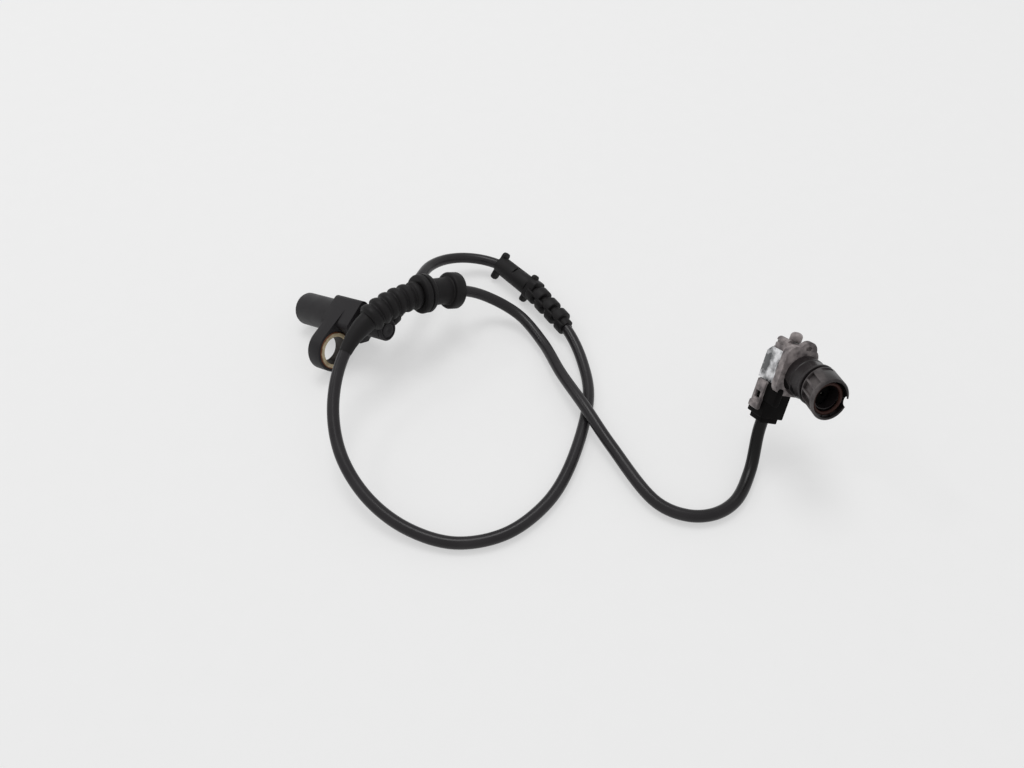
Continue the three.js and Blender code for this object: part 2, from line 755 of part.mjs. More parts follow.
const plug = new THREE.Group();
plug.add(
  piece("plug_housing", plugHousing(), plugPlastic),
  piece("entry_sleeve", entrySleeve(), rubber),
  piece("coupling_ring", couplingRing(), plugPlastic),
  piece("contact_carrier", contactCarrier(), plugPlastic),
  piece("contact_pin_1", contactPin(-1), contactMetal),
  piece("contact_pin_2", contactPin(1), contactMetal),
  piece("mouth_seal", mouthSeal(), sealRubber),
  piece("plug_core_1", plugCore(-1), coreJackets[0]),
  piece("plug_core_2", plugCore(1), coreJackets[1]),
  piece("body_cover", bodyCover(), glossPlastic),
  piece("top_lug", topLug(), plugPlastic),
  piece("latch_arm", latchArm(), plugPlastic),
);
plug.rotation.set(rad(PLUG_ROLL), -rad(PLUG_RISE), rad(PLUG_TURN), "ZYX");
plug.position.set(...PLUG_AT);
plug.updateMatrixWorld(true);

// Cable: straight out of the head's outlet, along the route, straight into the plug
function outletPoint(distance) {
  const point = new THREE.Vector3(0, distance, 0);
  point.applyAxisAngle(new THREE.Vector3(1, 0, 0), rad(OUTLET_TURN));
  return head.localToWorld(point.setX(OUTLET_AT));
}

const cableCurve = new THREE.CatmullRomCurve3(
  [
    outletPoint(CABLE_INSET),
    outletPoint(OUTLET_LENGTH + BOOT_LENGTH),
    ...ROUTE.map((point) => new THREE.Vector3(...point)),
    plug.localToWorld(new THREE.Vector3(0, 0, -5)),
    plug.localToWorld(new THREE.Vector3(0, 0, CABLE_IN_PLUG)),
  ],
  false,
  "centripetal",
);
cableCurve.arcLengthDivisions = 2000;

// A moulding on the cable: rings of [distance, radius or radius by angle], closed by its bore
function onCable(start, rings, sides) {
  const longest = 4;
  const bore = CABLE_D / 2 + CORD_GAP;
  const first = rings[0][0];
  const last = rings[rings.length - 1][0];
  const boreSteps = Math.ceil((last - first) / longest);
  const all = [...rings];
  for (let i = 0; i <= boreSteps; i++) {
    all.push([last + ((first - last) * i) / boreSteps, bore]);
  }
  const total = cableCurve.getLength();
  const vertices = [];
  for (const [distance, radius] of all) {
    const at = (start + distance) / total;
    const centre = cableCurve.getPointAt(at);
    const along = cableCurve.getTangentAt(at);
    const across = new THREE.Vector3(0, 0, 1).cross(along).normalize();
    const upward = new THREE.Vector3().crossVectors(along, across);
    for (let j = 0; j < sides; j++) {
      const angle = (2 * Math.PI * (j + 0.5)) / sides;
      const reach = typeof radius === "function" ? radius(angle) : radius;
      vertices.push(
        centre
          .clone()
          .addScaledVector(across, reach * Math.cos(angle))
          .addScaledVector(upward, reach * Math.sin(angle)),
      );
    }
  }
  const faces = [];
  for (let i = 0; i < all.length; i++) {
    const next = (i + 1) % all.length;
    for (let j = 0; j < sides; j++) {
      const k = (j + 1) % sides;
      const [a, b] = [i * sides + j, i * sides + k];
      const [c, d] = [next * sides + k, next * sides + j];
      faces.push(a, b, c, a, c, d);
    }
  }
  const geometry = new THREE.BufferGeometry().setFromPoints(vertices);
  geometry.setIndex(faces);
  const flat = geometry.toNonIndexed();
  flat.computeVertexNormals();
  return flat;
}

function bellowsGrommet() {
  const rings = [
    [0, TAIL_D[0] / 2],
    [TAIL_LENGTH / 2, TAIL_D[1] / 2],
    [TAIL_LENGTH, TAIL_D[1] / 2],
  ];
  for (let i = 0; i < RIBS; i++) {
    const from = TAIL_LENGTH + i * RIB_PITCH;
    rings.push([from + RIB_PITCH * 0.12, RIB_ROOT_D / 2]);
    rings.push([from + RIB_PITCH * 0.34, RIB_D / 2]);
    rings.push([from + RIB_PITCH * 0.7, RIB_D / 2]);
    rings.push([from + RIB_PITCH * 0.92, RIB_ROOT_D / 2]);
  }
  const collarFrom = TAIL_LENGTH + RIBS * RIB_PITCH;
  const collarEnd = collarFrom + COLLAR_W;
  const flangeFrom = collarEnd + NECK_LENGTH;
  const end = flangeFrom + GROMMET_FLANGE_W;
  const round = 0.7;
  rings.push(
    [collarFrom, COLLAR_D / 2 - round],
    [collarFrom + round, COLLAR_D / 2],
    [collarFrom + COLLAR_W / 2 - COLLAR_GROOVE / 2, COLLAR_D / 2],
    [collarFrom + COLLAR_W / 2, COLLAR_D / 2 - COLLAR_GROOVE],
    [collarFrom + COLLAR_W / 2 + COLLAR_GROOVE / 2, COLLAR_D / 2],
    [collarEnd - round, COLLAR_D / 2],
    [collarEnd, COLLAR_D / 2 - round],
    [collarEnd, NECK_D / 2],
    [(collarEnd + flangeFrom) / 2, NECK_D / 2],
    [flangeFrom, NECK_D / 2],
    [flangeFrom, GROMMET_FLANGE_D / 2 - round],
    [flangeFrom + round, GROMMET_FLANGE_D / 2],
    [end - round, GROMMET_FLANGE_D / 2],
    [end, GROMMET_FLANGE_D / 2 - round],
  );
  return onCable(GROMMET_AT, rings, GROMMET_SIDES);
}

// Radius of a rounded rectangle in the direction of an angle
function rectRadius(width, height, corner) {
  return (angle) => {
    const [c, s] = [Math.abs(Math.cos(angle)), Math.abs(Math.sin(angle))];
    const [w, h] = [width / 2, height / 2];
    const flat = Math.min(w / Math.max(c, 1e-9), h / Math.max(s, 1e-9));
    const [x, y] = [w - corner, h - corner];
    const inCorner = flat * c > x && flat * s > y;
    if (!inCorner) return flat;
    const dot = x * c + y * s;
    return dot + Math.sqrt(Math.max(0, dot * dot - (x * x + y * y - corner * corner)));
  };
}

function bracketClip() {
  const plate = rectRadius(PLATE_W, PLATE_H, PLATE_R);
  const shoulder = rectRadius(SHOULDER_W, SHOULDER_W * 0.92, PLATE_R);
  const spool = SPOOL_D / 2;
  const core = RELIEF_CORE_D / 2;
  const secondFrom = PLATE_T + SPOOL_LENGTH;
  const secondEnd = secondFrom + PLATE_T;
  const shoulderEnd = secondEnd + SHOULDER_T;
  const rings = [
    [0, plate],
    [PLATE_T, plate],
    [PLATE_T, spool],
    [secondFrom, spool],
    [secondFrom, plate],
    [secondEnd, plate],
    [secondEnd, shoulder],
    [shoulderEnd, shoulder],
  ];
  for (let i = 0; i < SEGMENTS; i++) {
    const from = shoulderEnd + i * SEGMENT_PITCH;
    const full = THREE.MathUtils.lerp(RELIEF_D[0], RELIEF_D[1], i / (SEGMENTS - 1)) / 2;
    const slotSide = i % 2 === 0 ? 1 : -1;
    const slotted = (angle) => (Math.cos(angle) * slotSide > -0.35 ? core : full);
    const slotEnd = from + SEGMENT_PITCH * SEGMENT_SLOT;
    rings.push([from, slotted], [slotEnd, slotted], [slotEnd, full], [from + SEGMENT_PITCH, full]);
  }
  return onCable(CLIP_AT, rings, CLIP_SIDES);
}

const lead = new THREE.Group();
lead.add(
  piece("cable", tube(cableCurve, CABLE_D, CABLE_STEPS, CABLE_SIDES), cableJacket),
  piece("bellows_grommet", bellowsGrommet(), rubber),
  piece("bracket_clip", bracketClip(), rubber),
);

const sensor = new THREE.Group();
sensor.add(head, lead, plug);

export default sensor;
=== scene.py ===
# %% [markdown]
# # A wheel speed sensor and its lead, dressed in Blender
#
# The CAD model gives every piece its place and size. This lesson loads that model as a frame and
# builds the pieces that a camera would look at closely: the cable with its soft highlights, the
# ribbed grommet, the clip with its staggered strain relief, the sensing head and the plug.
#
# Everything is in metres, +Z is up, and the part lies on the plane z = 0.

# %% Setup
import json
import math

import bmesh
import bpy
from mathutils import Euler, Matrix, Vector

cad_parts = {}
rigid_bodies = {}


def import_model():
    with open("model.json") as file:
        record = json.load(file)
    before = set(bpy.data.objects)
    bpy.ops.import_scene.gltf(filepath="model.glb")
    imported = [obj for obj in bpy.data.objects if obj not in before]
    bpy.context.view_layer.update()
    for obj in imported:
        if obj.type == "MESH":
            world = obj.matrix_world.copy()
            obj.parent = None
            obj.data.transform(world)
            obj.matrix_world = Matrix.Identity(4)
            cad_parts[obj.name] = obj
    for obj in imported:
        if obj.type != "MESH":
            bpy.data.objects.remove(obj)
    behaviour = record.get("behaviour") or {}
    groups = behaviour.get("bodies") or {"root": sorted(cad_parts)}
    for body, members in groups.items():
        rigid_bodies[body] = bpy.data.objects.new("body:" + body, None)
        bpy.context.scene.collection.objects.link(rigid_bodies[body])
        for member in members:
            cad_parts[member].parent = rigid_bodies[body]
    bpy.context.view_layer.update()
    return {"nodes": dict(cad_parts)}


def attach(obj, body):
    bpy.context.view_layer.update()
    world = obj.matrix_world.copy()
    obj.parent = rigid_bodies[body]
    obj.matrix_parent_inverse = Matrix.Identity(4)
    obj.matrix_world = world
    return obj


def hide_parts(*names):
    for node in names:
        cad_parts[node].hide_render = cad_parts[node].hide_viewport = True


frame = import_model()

NODES = frame["nodes"]
MM = 0.001
ROOT = "root"
print("loaded", len(NODES), "nodes")

# %% [markdown]
# ## The camera
#
# The part is seen from in front and above. A camera could be aimed at a point with a constraint,
# but a plain height and tilt are easier to keep still, so it gets two numbers: it stands 308 mm
# above the table and looks 51 degrees down.

# %% Camera
CAMERA_AT = Vector((80.21, -276.04, 308.0)) * MM
CAMERA_DOWN = 51.0
CAMERA_LENS = 28.125

bpy.ops.object.select_all(action="DESELECT")
bpy.ops.object.camera_add(location=CAMERA_AT, rotation=(math.radians(90 - CAMERA_DOWN), 0, 0))
camera = bpy.context.object
camera.name = "camera"
camera.data.lens = CAMERA_LENS
camera.data.sensor_width = 36.0
camera.data.clip_start = 0.01
camera.data.clip_end = 10.0
bpy.context.scene.camera = camera
print("camera at", [round(v, 3) for v in camera.location])

# %% [markdown]
# ## Where the head and the plug are
#
# The head and the plug lie at a slant on the table. They could be modelled at that slant, but a
# straight shape is easier to draw and to measure. So each is modelled in its own axes and then
# set in place by a matrix. The head's barrel runs along its X with the tip at 0. The plug's mouth
# faces its X, and the cable enters it along its Z.


# %% The matrix of a group
def placed(at, turn, rise, roll):
    """The matrix of a group that is turned about Z, raised, and rolled about its own X."""
    angles = [math.radians(a) for a in (turn, -rise, roll)]
    axes = [Matrix.Rotation(a, 4, axis) for a, axis in zip(angles, "ZYX")]
    return Matrix.Translation(at) @ axes[0] @ axes[1] @ axes[2]


# %% Head and plug in place
HEAD_ANGLES = (-33.3, 16.3, 18.4)
EYE_REACH = 17.8
FLANGE_AT = 27.3
FLANGE_T = 7.6
PLUG_ANGLES = (-70.8, 27.6, -23.5)
PLUG_AT = Vector((193, -62, 18)) * MM

bush_mesh = NODES["mounting_bush"].data
eye_centre = sum((v.co for v in bush_mesh.vertices), Vector()) / len(bush_mesh.vertices)
eye_in_head = Vector((FLANGE_AT + FLANGE_T / 2, -EYE_REACH, 0)) * MM
HEAD = placed(eye_centre, *HEAD_ANGLES) @ Matrix.Translation(-eye_in_head)
PLUG = placed(PLUG_AT, *PLUG_ANGLES)
print("head tip at", [round(v / MM, 2) for v in HEAD.translation], "mm")

# %% [markdown]
# ## The cable's route
#
# The real cable is stiff and keeps the loop that it was given. A bezier curve could be drawn by
# hand, but the CAD source already has the points that the cable goes through, in millimetres. A
# centripetal Catmull-Rom curve is chosen, because it goes through every point and never makes a
# small loop of its own between two of them.

# %% Points of the route
CABLE_D = 5.6 * MM
ROUTE = [
    (32.4, 28, 20.1), (36.5, 41.4, 15.9), (43.7, 50.7, 12), (53.3, 55.2, 9.4), (64, 55.2, 7.9),
    (73.9, 50.9, 7.7), (82.7, 42.9, 7.8), (90.6, 30.6, 7.9), (98.4, 19.8, 7.2), (109.5, 3.3, 5),
    (115.9, -17, 3.1), (117.1, -38.5, 3), (105.3, -79.5, 3), (93.8, -98.1, 3), (76.7, -111.5, 3),
    (55.7, -115.5, 3.1), (35.2, -109.6, 5), (18.2, -97.6, 9), (5.7, -80.5, 15), (0.1, -61, 21),
    (0.9, -40.5, 27.6), (7.2, -25.1, 33.6), (18.5, -11.8, 36.8), (31.5, 0, 34.4),
    (55.6, 17.3, 21.2), (68.9, 20.3, 13), (84, 13.7, 7.1), (95.9, -3.4, 4.9), (104.3, -25.5, 6.9),
    (114.2, -46.5, 8.5), (125.2, -67.5, 6.4), (143.5, -96.3, 3.8), (156.1, -102.4, 3.3),
    (168.1, -101.5, 3), (178.3, -95, 3), (187, -80.3, 4.4),
]
print("route points:", len(ROUTE))


# %% A curve through points
def catmull_rom(points, steps):
    """Points along a centripetal Catmull-Rom curve, with its first and last chord carried on."""
    p = [2 * points[0] - points[1], *points, 2 * points[-1] - points[-2]]
    found = []
    for i in range(1, len(p) - 2):
        a, b, c, d = p[i - 1], p[i], p[i + 1], p[i + 2]
        t0, t1, t2 = ((q - r).length ** 0.5 for q, r in ((b, a), (c, b), (d, c)))
        start = ((b - a) / t0 - (c - a) / (t0 + t1) + (c - b) / t1) * t1
        end = ((c - b) / t1 - (d - b) / (t1 + t2) + (d - c) / t2) * t1
        for k in range(steps):
            t = k / steps
            square, cube = t * t, t * t * t
            found.append(
                b
                + start * t
                + (3 * (c - b) - 2 * start - end) * square
                + (2 * (b - c) + start + end) * cube
            )
    return [*found, points[-1]]


# %% The cable's line
OUTLET_AT = 50.3
OUTLET_TURN = -18.4
OUTLET_LENGTH = 8.0
BOOT_LENGTH = 17.0
CABLE_INSET = 4.2
CABLE_IN_PLUG = 9.0
CABLE_UNDER_PLUG = 5.0
LINE_STEPS = 12


def outlet_point(reach):
    """A point on the axis of the head's cable outlet, in the row frame."""
    turn = math.radians(OUTLET_TURN)
    return HEAD @ (Vector((OUTLET_AT, reach * math.cos(turn), reach * math.sin(turn))) * MM)


route = [
    outlet_point(CABLE_INSET),
    outlet_point(OUTLET_LENGTH + BOOT_LENGTH),
    *(Vector(point) * MM for point in ROUTE),
    PLUG @ (Vector((0, 0, -CABLE_UNDER_PLUG)) * MM),
    PLUG @ (Vector((0, 0, CABLE_IN_PLUG)) * MM),
]
line = catmull_rom(route, LINE_STEPS)

# %% [markdown]
# ## The cable itself
#
# The jacket is a round extruded tube. It could be a mesh swept ring by ring, but a curve object
# with a round bevel does the same, keeps its thickness along the bends and stays a curve that the
# frame can read as a cord. A second, bare curve on the same points is what the grommet is bent
# onto later.


# %% Cable curve
def cable_curve(name, thickness):
    """A curve object along the route. Thickness 0 gives the bare line that a piece is bent onto."""
    data = bpy.data.curves.new(name, "CURVE")
    data.dimensions = "3D"
    data.twist_mode = "Z_UP"
    spline = data.splines.new("POLY")
    spline.points.add(len(line) - 1)
    for point, at in zip(spline.points, line):
        point.co = (*at, 1)
    data.bevel_depth = thickness / 2
    data.bevel_resolution = 7
    data.use_fill_caps = thickness > 0
    obj = bpy.data.objects.new(name, data)
    bpy.context.collection.objects.link(obj)
    return obj


cable = cable_curve("lead_cable", CABLE_D)
cable_line = cable_curve("cable_line", 0)
print("curves of", len(line), "points")

# %% [markdown]
# ## The barrel of the sensing head
#
# The barrel is the smooth nose that faces the toothed wheel. It could be a cylinder with a bevel.
# Here a circle is drawn out ring by ring, because the same tool then makes every round piece of
# this part from a list of places and radii.


# %% Turned pieces
def clear_selection():
    if bpy.context.object and bpy.context.object.mode != "OBJECT":
        bpy.ops.object.mode_set(mode="OBJECT")
    bpy.ops.object.select_all(action="DESELECT")


def turned(name, profile, sides=56, hollow=False):
    """A piece turned about X. The profile is a list of (x, radius) in millimetres."""
    (x, radius), rest = profile[0], profile[1:]
    clear_selection()
    bpy.ops.mesh.primitive_circle_add(
        vertices=sides, radius=radius * MM, location=(x * MM, 0, 0), rotation=(0, math.pi / 2, 0)
    )
    obj = bpy.context.object
    obj.name = name
    bpy.ops.object.transform_apply(location=True, rotation=True, scale=True)
    bpy.ops.object.mode_set(mode="EDIT")
    bpy.ops.mesh.select_all(action="SELECT")
    if not hollow:
        bpy.ops.mesh.edge_face_add()
    for next_x, next_radius in rest:
        shift = {"value": ((next_x - x) * MM, 0, 0)}
        if hollow:
            bpy.ops.mesh.extrude_edges_move(TRANSFORM_OT_translate=shift)
        else:
            bpy.ops.mesh.extrude_region_move(TRANSFORM_OT_translate=shift)
        scale = next_radius / radius
        bpy.ops.transform.resize(value=(1, scale, scale), center_override=(next_x * MM, 0, 0))
        x, radius = next_x, next_radius
    if hollow:
        close_wall(obj)
    bpy.ops.mesh.select_all(action="SELECT")
    bpy.ops.mesh.normals_make_consistent(inside=False)
    bpy.ops.object.mode_set(mode="OBJECT")
    return obj


def close_wall(obj):
    """Bridges the last ring of a hollow piece to its first one."""
    mesh = bmesh.from_edit_mesh(obj.data)
    for edge in mesh.edges:
        edge.select = edge.is_boundary
    bmesh.update_edit_mesh(obj.data)
    bpy.ops.mesh.bridge_edge_loops()


# %% Barrel
BARREL_R = 8.35
TIP_FACE_R = 6.0
TIP_ROUND = 1.1
TIP_ROUND_MIDDLE = 0.35
BLOCK_FROM = FLANGE_AT - 3.6
INTO = 2.0

barrel = turned(
    "barrel",
    [
        (0, TIP_FACE_R),
        (0, BARREL_R - TIP_ROUND),
        (TIP_ROUND_MIDDLE, BARREL_R - TIP_ROUND_MIDDLE),
        (TIP_ROUND, BARREL_R),
        (BLOCK_FROM + INTO, BARREL_R),
    ],
    sides=72,
)
print("barrel:", len(barrel.data.polygons), "faces")

# %% [markdown]
# ## The square block
#
# Behind the barrel the moulding is square, with rounded edges and one flat chamfer. It could be
# one subdivided cube, but a cube with four bevelled edges keeps its sides truly flat. The chamfer
# is cut with a boolean, because it is deeper than the rounding and lies on one edge only.


# %% Blocks
def block(name, low, high, corner=0.0, along="X", segments=5):
    """A box in millimetres, with its four edges that run along one axis rounded."""
    clear_selection()
    size = [h - l for l, h in zip(low, high)]
    centre = [(h + l) / 2 for l, h in zip(low, high)]
    bpy.ops.mesh.primitive_cube_add(size=1, location=[c * MM for c in centre])
    obj = bpy.context.object
    obj.name = name
    obj.scale = [s * MM for s in size]
    bpy.ops.object.transform_apply(location=True, rotation=True, scale=True)
    if corner > 0:
        axis = "XYZ".index(along)
        bpy.ops.object.mode_set(mode="EDIT")
        bpy.ops.mesh.select_all(action="DESELECT")
        mesh = bmesh.from_edit_mesh(obj.data)
        for edge in mesh.edges:
            way = edge.verts[0].co - edge.verts[1].co
            edge.select = abs(way[axis]) > 0.9 * way.length
        bmesh.update_edit_mesh(obj.data)
        bpy.ops.mesh.bevel(offset=corner * MM, segments=segments, affect="EDGES")
        bpy.ops.object.mode_set(mode="OBJECT")
    return obj


# %% Moving a piece
def activate(obj):
    clear_selection()
    obj.select_set(True)
    bpy.context.view_layer.objects.active = obj
    return obj


def set_down(obj, place):
    """Moves a piece by a matrix and leaves its object at the origin."""
    activate(obj)
    obj.matrix_world = place
    bpy.ops.object.transform_apply(location=True, rotation=True, scale=True)
    return obj


def move(obj, at=(0, 0, 0), turn=(0, 0, 0)):
    """Turns a piece by degrees about the origin and then moves it by millimetres."""
    turned_by = Euler([math.radians(a) for a in turn]).to_matrix().to_4x4()
    return set_down(obj, Matrix.Translation(Vector(at) * MM) @ turned_by)


# %% Cutting a piece
def apply_modifiers(obj):
    activate(obj)
    for modifier in list(obj.modifiers):
        bpy.ops.object.modifier_apply(modifier=modifier.name)
    return obj


def combine(obj, operation, others):
    """Runs a boolean between a piece and each of the others, which are used up."""
    for other in others:
        boolean = obj.modifiers.new("combine", "BOOLEAN")
        boolean.operation = operation
        boolean.solver = "EXACT"
        boolean.object = other
        apply_modifiers(obj)
        bpy.data.objects.remove(other)
    return obj


def cut(obj, *tools):
    """Takes the tools' shapes out of a piece."""
    return combine(obj, "DIFFERENCE", tools)


# %% Square block
FLANGE_BACK = FLANGE_AT + FLANGE_T
BLOCK_TO = FLANGE_BACK + 7.4
BLOCK_HALF = 8.7
BLOCK_CORNER = 2.6
CHAMFER_AT = 9.7
TOOL_HALF = 9.0
TOOL_REACH = 20.0

square = block(
    "square",
    (BLOCK_FROM, -BLOCK_HALF, -BLOCK_HALF),
    (BLOCK_TO, BLOCK_HALF, BLOCK_HALF),
    corner=BLOCK_CORNER,
    segments=7,
)
chamfer = block(
    "chamfer",
    (BLOCK_FROM - INTO, -TOOL_HALF, -TOOL_REACH),
    (BLOCK_TO + INTO, TOOL_HALF, -CHAMFER_AT),
)
cut(square, move(chamfer, turn=(-45, 0, 0)))
print("square block:", len(square.data.polygons), "faces")

# %% [markdown]
# ## The bolt flange and its web
#
# A bolt through the eye holds the sensor. The flange is a disc that runs over into the block, and
# its outline is a tangent from one to the other. It could be drawn point by point, but the convex
# hull of a disc and a thin block gives the same outline by itself. The web behind the eye is a
# block with a sloping back.


# %% Joining and stretching
def gather(name, *pieces):
    """Joins loose shapes into one object."""
    activate(pieces[0])
    for piece in pieces:
        piece.select_set(True)
    bpy.ops.object.join()
    obj = bpy.context.object
    obj.name = name
    return obj


def hull(obj):
    """Stretches a skin over all the points of a piece."""
    activate(obj)
    bpy.ops.object.mode_set(mode="EDIT")
    bpy.ops.mesh.select_all(action="SELECT")
    bpy.ops.mesh.convex_hull()
    bpy.ops.object.mode_set(mode="OBJECT")
    return obj


# %% Flange
EYE_R = 10.7
ROOT_HALF = 1.0

eye = turned("eye", [(FLANGE_AT, EYE_R), (FLANGE_BACK, EYE_R)], sides=72)
move(eye, (0, -EYE_REACH, 0))
root = block(
    "root", (FLANGE_AT, -ROOT_HALF, -BLOCK_HALF), (FLANGE_BACK, ROOT_HALF, BLOCK_HALF)
)
flange = hull(gather("flange", eye, root))
print("flange:", len(flange.data.polygons), "faces")

# %% Web behind the eye
BUSH_R = 9.3
SEAT_GAP = 0.3
WEB_HALF = 5.5
WEB_FOOT = -EYE_REACH + BUSH_R + SEAT_GAP

web = block(
    "web",
    (FLANGE_BACK - 1, WEB_FOOT, -WEB_HALF),
    (BLOCK_TO, -BLOCK_HALF + BLOCK_CORNER, WEB_HALF),
)
rise = math.degrees(math.atan2(-BLOCK_HALF - WEB_FOOT, BLOCK_TO - FLANGE_BACK))
slope = block("slope", (0, -12, -TOOL_HALF), (14, 0, TOOL_HALF))
cut(web, move(slope, (FLANGE_BACK, WEB_FOOT, 0), (0, 0, rise)))
print("web's back slopes by", round(-rise, 1), "degrees")

# %% [markdown]
# ## The rear cylinder and the cable outlet
#
# Behind the block the head ends in a plain cylinder, and the cable leaves it through a short pipe
# at its side. Both are turned. The pipe is modelled along X as well and then stood on the
# outlet's axis, so that the boot can later be set on it by the same two turns.

# %% Rear and outlet
REAR_R = 5.4
HEAD_LENGTH = 59.0
CAP_T = 1.6
OUTLET_R = 5.1


def to_outlet(obj):
    """Stands a piece that was turned about X on the axis of the cable outlet."""
    move(obj, turn=(0, 0, 90))
    return move(obj, (OUTLET_AT, 0, 0), (OUTLET_TURN, 0, 0))


rear = turned(
    "rear", [(BLOCK_TO - 1, REAR_R), (HEAD_LENGTH - CAP_T - SEAT_GAP, REAR_R)], sides=48
)
outlet = to_outlet(turned("outlet", [(0, OUTLET_R), (OUTLET_LENGTH, OUTLET_R)], sides=48))
print("rear and outlet:", len(rear.data.polygons) + len(outlet.data.polygons), "faces")

# %% [markdown]
# ## The look of moulded plastic
#
# Moulded plastic and rubber are never quite even. They could be given a flat colour, but then they
# look like paint. So every surface here mixes two near shades with a soft noise, varies its
# roughness with the same noise, and has a fine grain as a bump. The helpers below each add one
# kind of node and hand on its output.


# %% Shades
def linear(shade):
    """A display shade from 0 to 1 as linear light."""
    return shade / 12.92 if shade <= 0.04045 else ((shade + 0.055) / 1.055) ** 2.4


def colour(red, green, blue):
    return (linear(red / 255), linear(green / 255), linear(blue / 255), 1)


# %% Nodes of a material
def noise(material, scale, detail):
    """A soft noise over the piece's own coordinates."""
    nodes, links = material.node_tree.nodes, material.node_tree.links
    place = nodes.new("ShaderNodeTexCoord")
    texture = nodes.new("ShaderNodeTexNoise")
    texture.inputs["Scale"].default_value = scale
    texture.inputs["Detail"].default_value = detail
    links.new(place.outputs["Object"], texture.inputs["Vector"])
    return texture.outputs["Fac"]


def ranged(material, value, low, high, to=(0, 1)):
    """A value that lies between low and high, brought to 0 and 1 or to another range."""
    node = material.node_tree.nodes.new("ShaderNodeMapRange")
    node.inputs["From Min"].default_value = low
    node.inputs["From Max"].default_value = high
    node.inputs["To Min"].default_value = to[0]
    node.inputs["To Max"].default_value = to[1]
    material.node_tree.links.new(value, node.inputs["Value"])
    return node.outputs["Result"]


def mixed(material, share, first, second):
    """The first shade where the share is 0 and the second where it is 1."""
    node = material.node_tree.nodes.new("ShaderNodeMix")
    node.data_type = "RGBA"
    material.node_tree.links.new(share, node.inputs[0])
    for socket, shade in ((node.inputs[6], first), (node.inputs[7], second)):
        if isinstance(shade, tuple):
            socket.default_value = shade
        else:
            material.node_tree.links.new(shade, socket)
    return node.outputs[2]


# %% A moulded surface
GRAIN = 2600
GRAIN_DEPTH = 0.04 * MM


def surface(name, dark, light, roughness, patch=140, spread=0.5, shine=0.5, metal=0.0):
    """Principled surface. dark and light are its two shades, roughness is its range."""
    material = bpy.data.materials.new(name)
    material.use_nodes = True
    nodes, links = material.node_tree.nodes, material.node_tree.links
    shader = nodes["Principled BSDF"]
    shader.inputs["Metallic"].default_value = metal
    shader.inputs["Specular IOR Level"].default_value = shine
    patches = noise(material, patch, 6)
    blend = ranged(material, patches, 0.5 - spread, 0.5 + spread)
    links.new(mixed(material, blend, dark, light), shader.inputs["Base Color"])
    links.new(ranged(material, patches, 0.3, 0.7, roughness), shader.inputs["Roughness"])
    bump = nodes.new("ShaderNodeBump")
    bump.inputs["Strength"].default_value = 0.5
    bump.inputs["Distance"].default_value = GRAIN_DEPTH
    links.new(noise(material, GRAIN, 3), bump.inputs["Height"])
    links.new(bump.outputs["Normal"], shader.inputs["Normal"])
    return material


# %% Plastic of the head
HOUSING = surface(
    "housing_plastic", colour(20, 18, 21), colour(36, 34, 36), (0.44, 0.58), shine=0.27
)
print("surface", HOUSING.name)

# %% [markdown]
# ## One housing
#
# The real housing is a single moulding, so its shapes are fused into one skin with booleans, and
# the eye's hole is cut through that skin. The shapes could stay loose, but then no rounding would
# run along the lines where they meet. A bevel modifier that finds sharp edges by their angle
# rounds all of them at once.


# %% Fusing and rounding
def fuse(obj, *others):
    """Makes one skin of several shapes that run into each other."""
    return combine(obj, "UNION", others)


def soften(obj, width=0.25, segments=2, angle=32):
    """Rounds every sharp edge, as a mould does."""
    bevel = obj.modifiers.new("soften", "BEVEL")
    bevel.width = width * MM
    bevel.segments = segments
    bevel.limit_method = "ANGLE"
    bevel.angle_limit = math.radians(angle)
    bevel.harden_normals = False
    return apply_modifiers(obj)


# %% Dressing a piece
SMOOTH_ANGLE = 38


def dress(obj, material, slot, *nodes, place=None):
    """Sets a finished piece in its place, gives it its surface and ties it to the frame."""
    if place is not None:
        set_down(obj, place)
    activate(obj)
    bpy.ops.object.shade_smooth_by_angle(angle=math.radians(SMOOTH_ANGLE))
    obj.data.materials.clear()
    obj.data.materials.append(material)
    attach(obj, ROOT)
    if nodes:
        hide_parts(*nodes)
    print("made", obj.name, len(obj.data.polygons), "faces")
    return obj


# %% Housing
HOLE_R = BUSH_R + SEAT_GAP

housing = fuse(flange, square, barrel, web, rear, outlet)
hole = turned("hole", [(FLANGE_AT - INTO, HOLE_R), (FLANGE_BACK + INTO, HOLE_R)], sides=72)
cut(housing, move(hole, (0, -EYE_REACH, 0)))
housing.name = "head_housing"
soften(housing, 0.4, 3, 28)
dress(housing, HOUSING, "housing_plastic", "sensor_housing", place=HEAD)

# %% [markdown]
# ## The metal bush in the eye
#
# A steel bush takes the bolt's load. Its plating is dull and pale, its outer edge has rusted, and
# the wall of its bore is darkened with painted shade. The rust could be painted on, but it follows
# the shape: every point of the bush is marked with its distance from the bore's axis, and the
# material mixes its shades by that mark and a noise.


# %% Marks for a material
def mark(obj, name, value_of):
    """Writes a number on every point of a piece, for its material to read."""
    marks = obj.data.attributes.new(name, "FLOAT", "POINT")
    for vertex, number in zip(obj.data.vertices, marks.data):
        number.value = value_of(vertex.co)


def marked(material, name):
    node = material.node_tree.nodes.new("ShaderNodeAttribute")
    node.attribute_name = name
    return node.outputs["Fac"]


def base_colour(material):
    """The colour socket of a surface, and the output that feeds it."""
    socket = material.node_tree.nodes["Principled BSDF"].inputs["Base Color"]
    return socket, socket.links[0].from_socket


# %% Rusty steel
BUSH_BORE_R = 6.7
RUST_W = 1.0
RUST_SPOTS = 700
RUST = colour(104, 62, 38)
# Painted shade: this dark colour on the bore's wall stands in for the shadow inside the hole.
BORE_PAINTED_SHADE = colour(44, 38, 32)


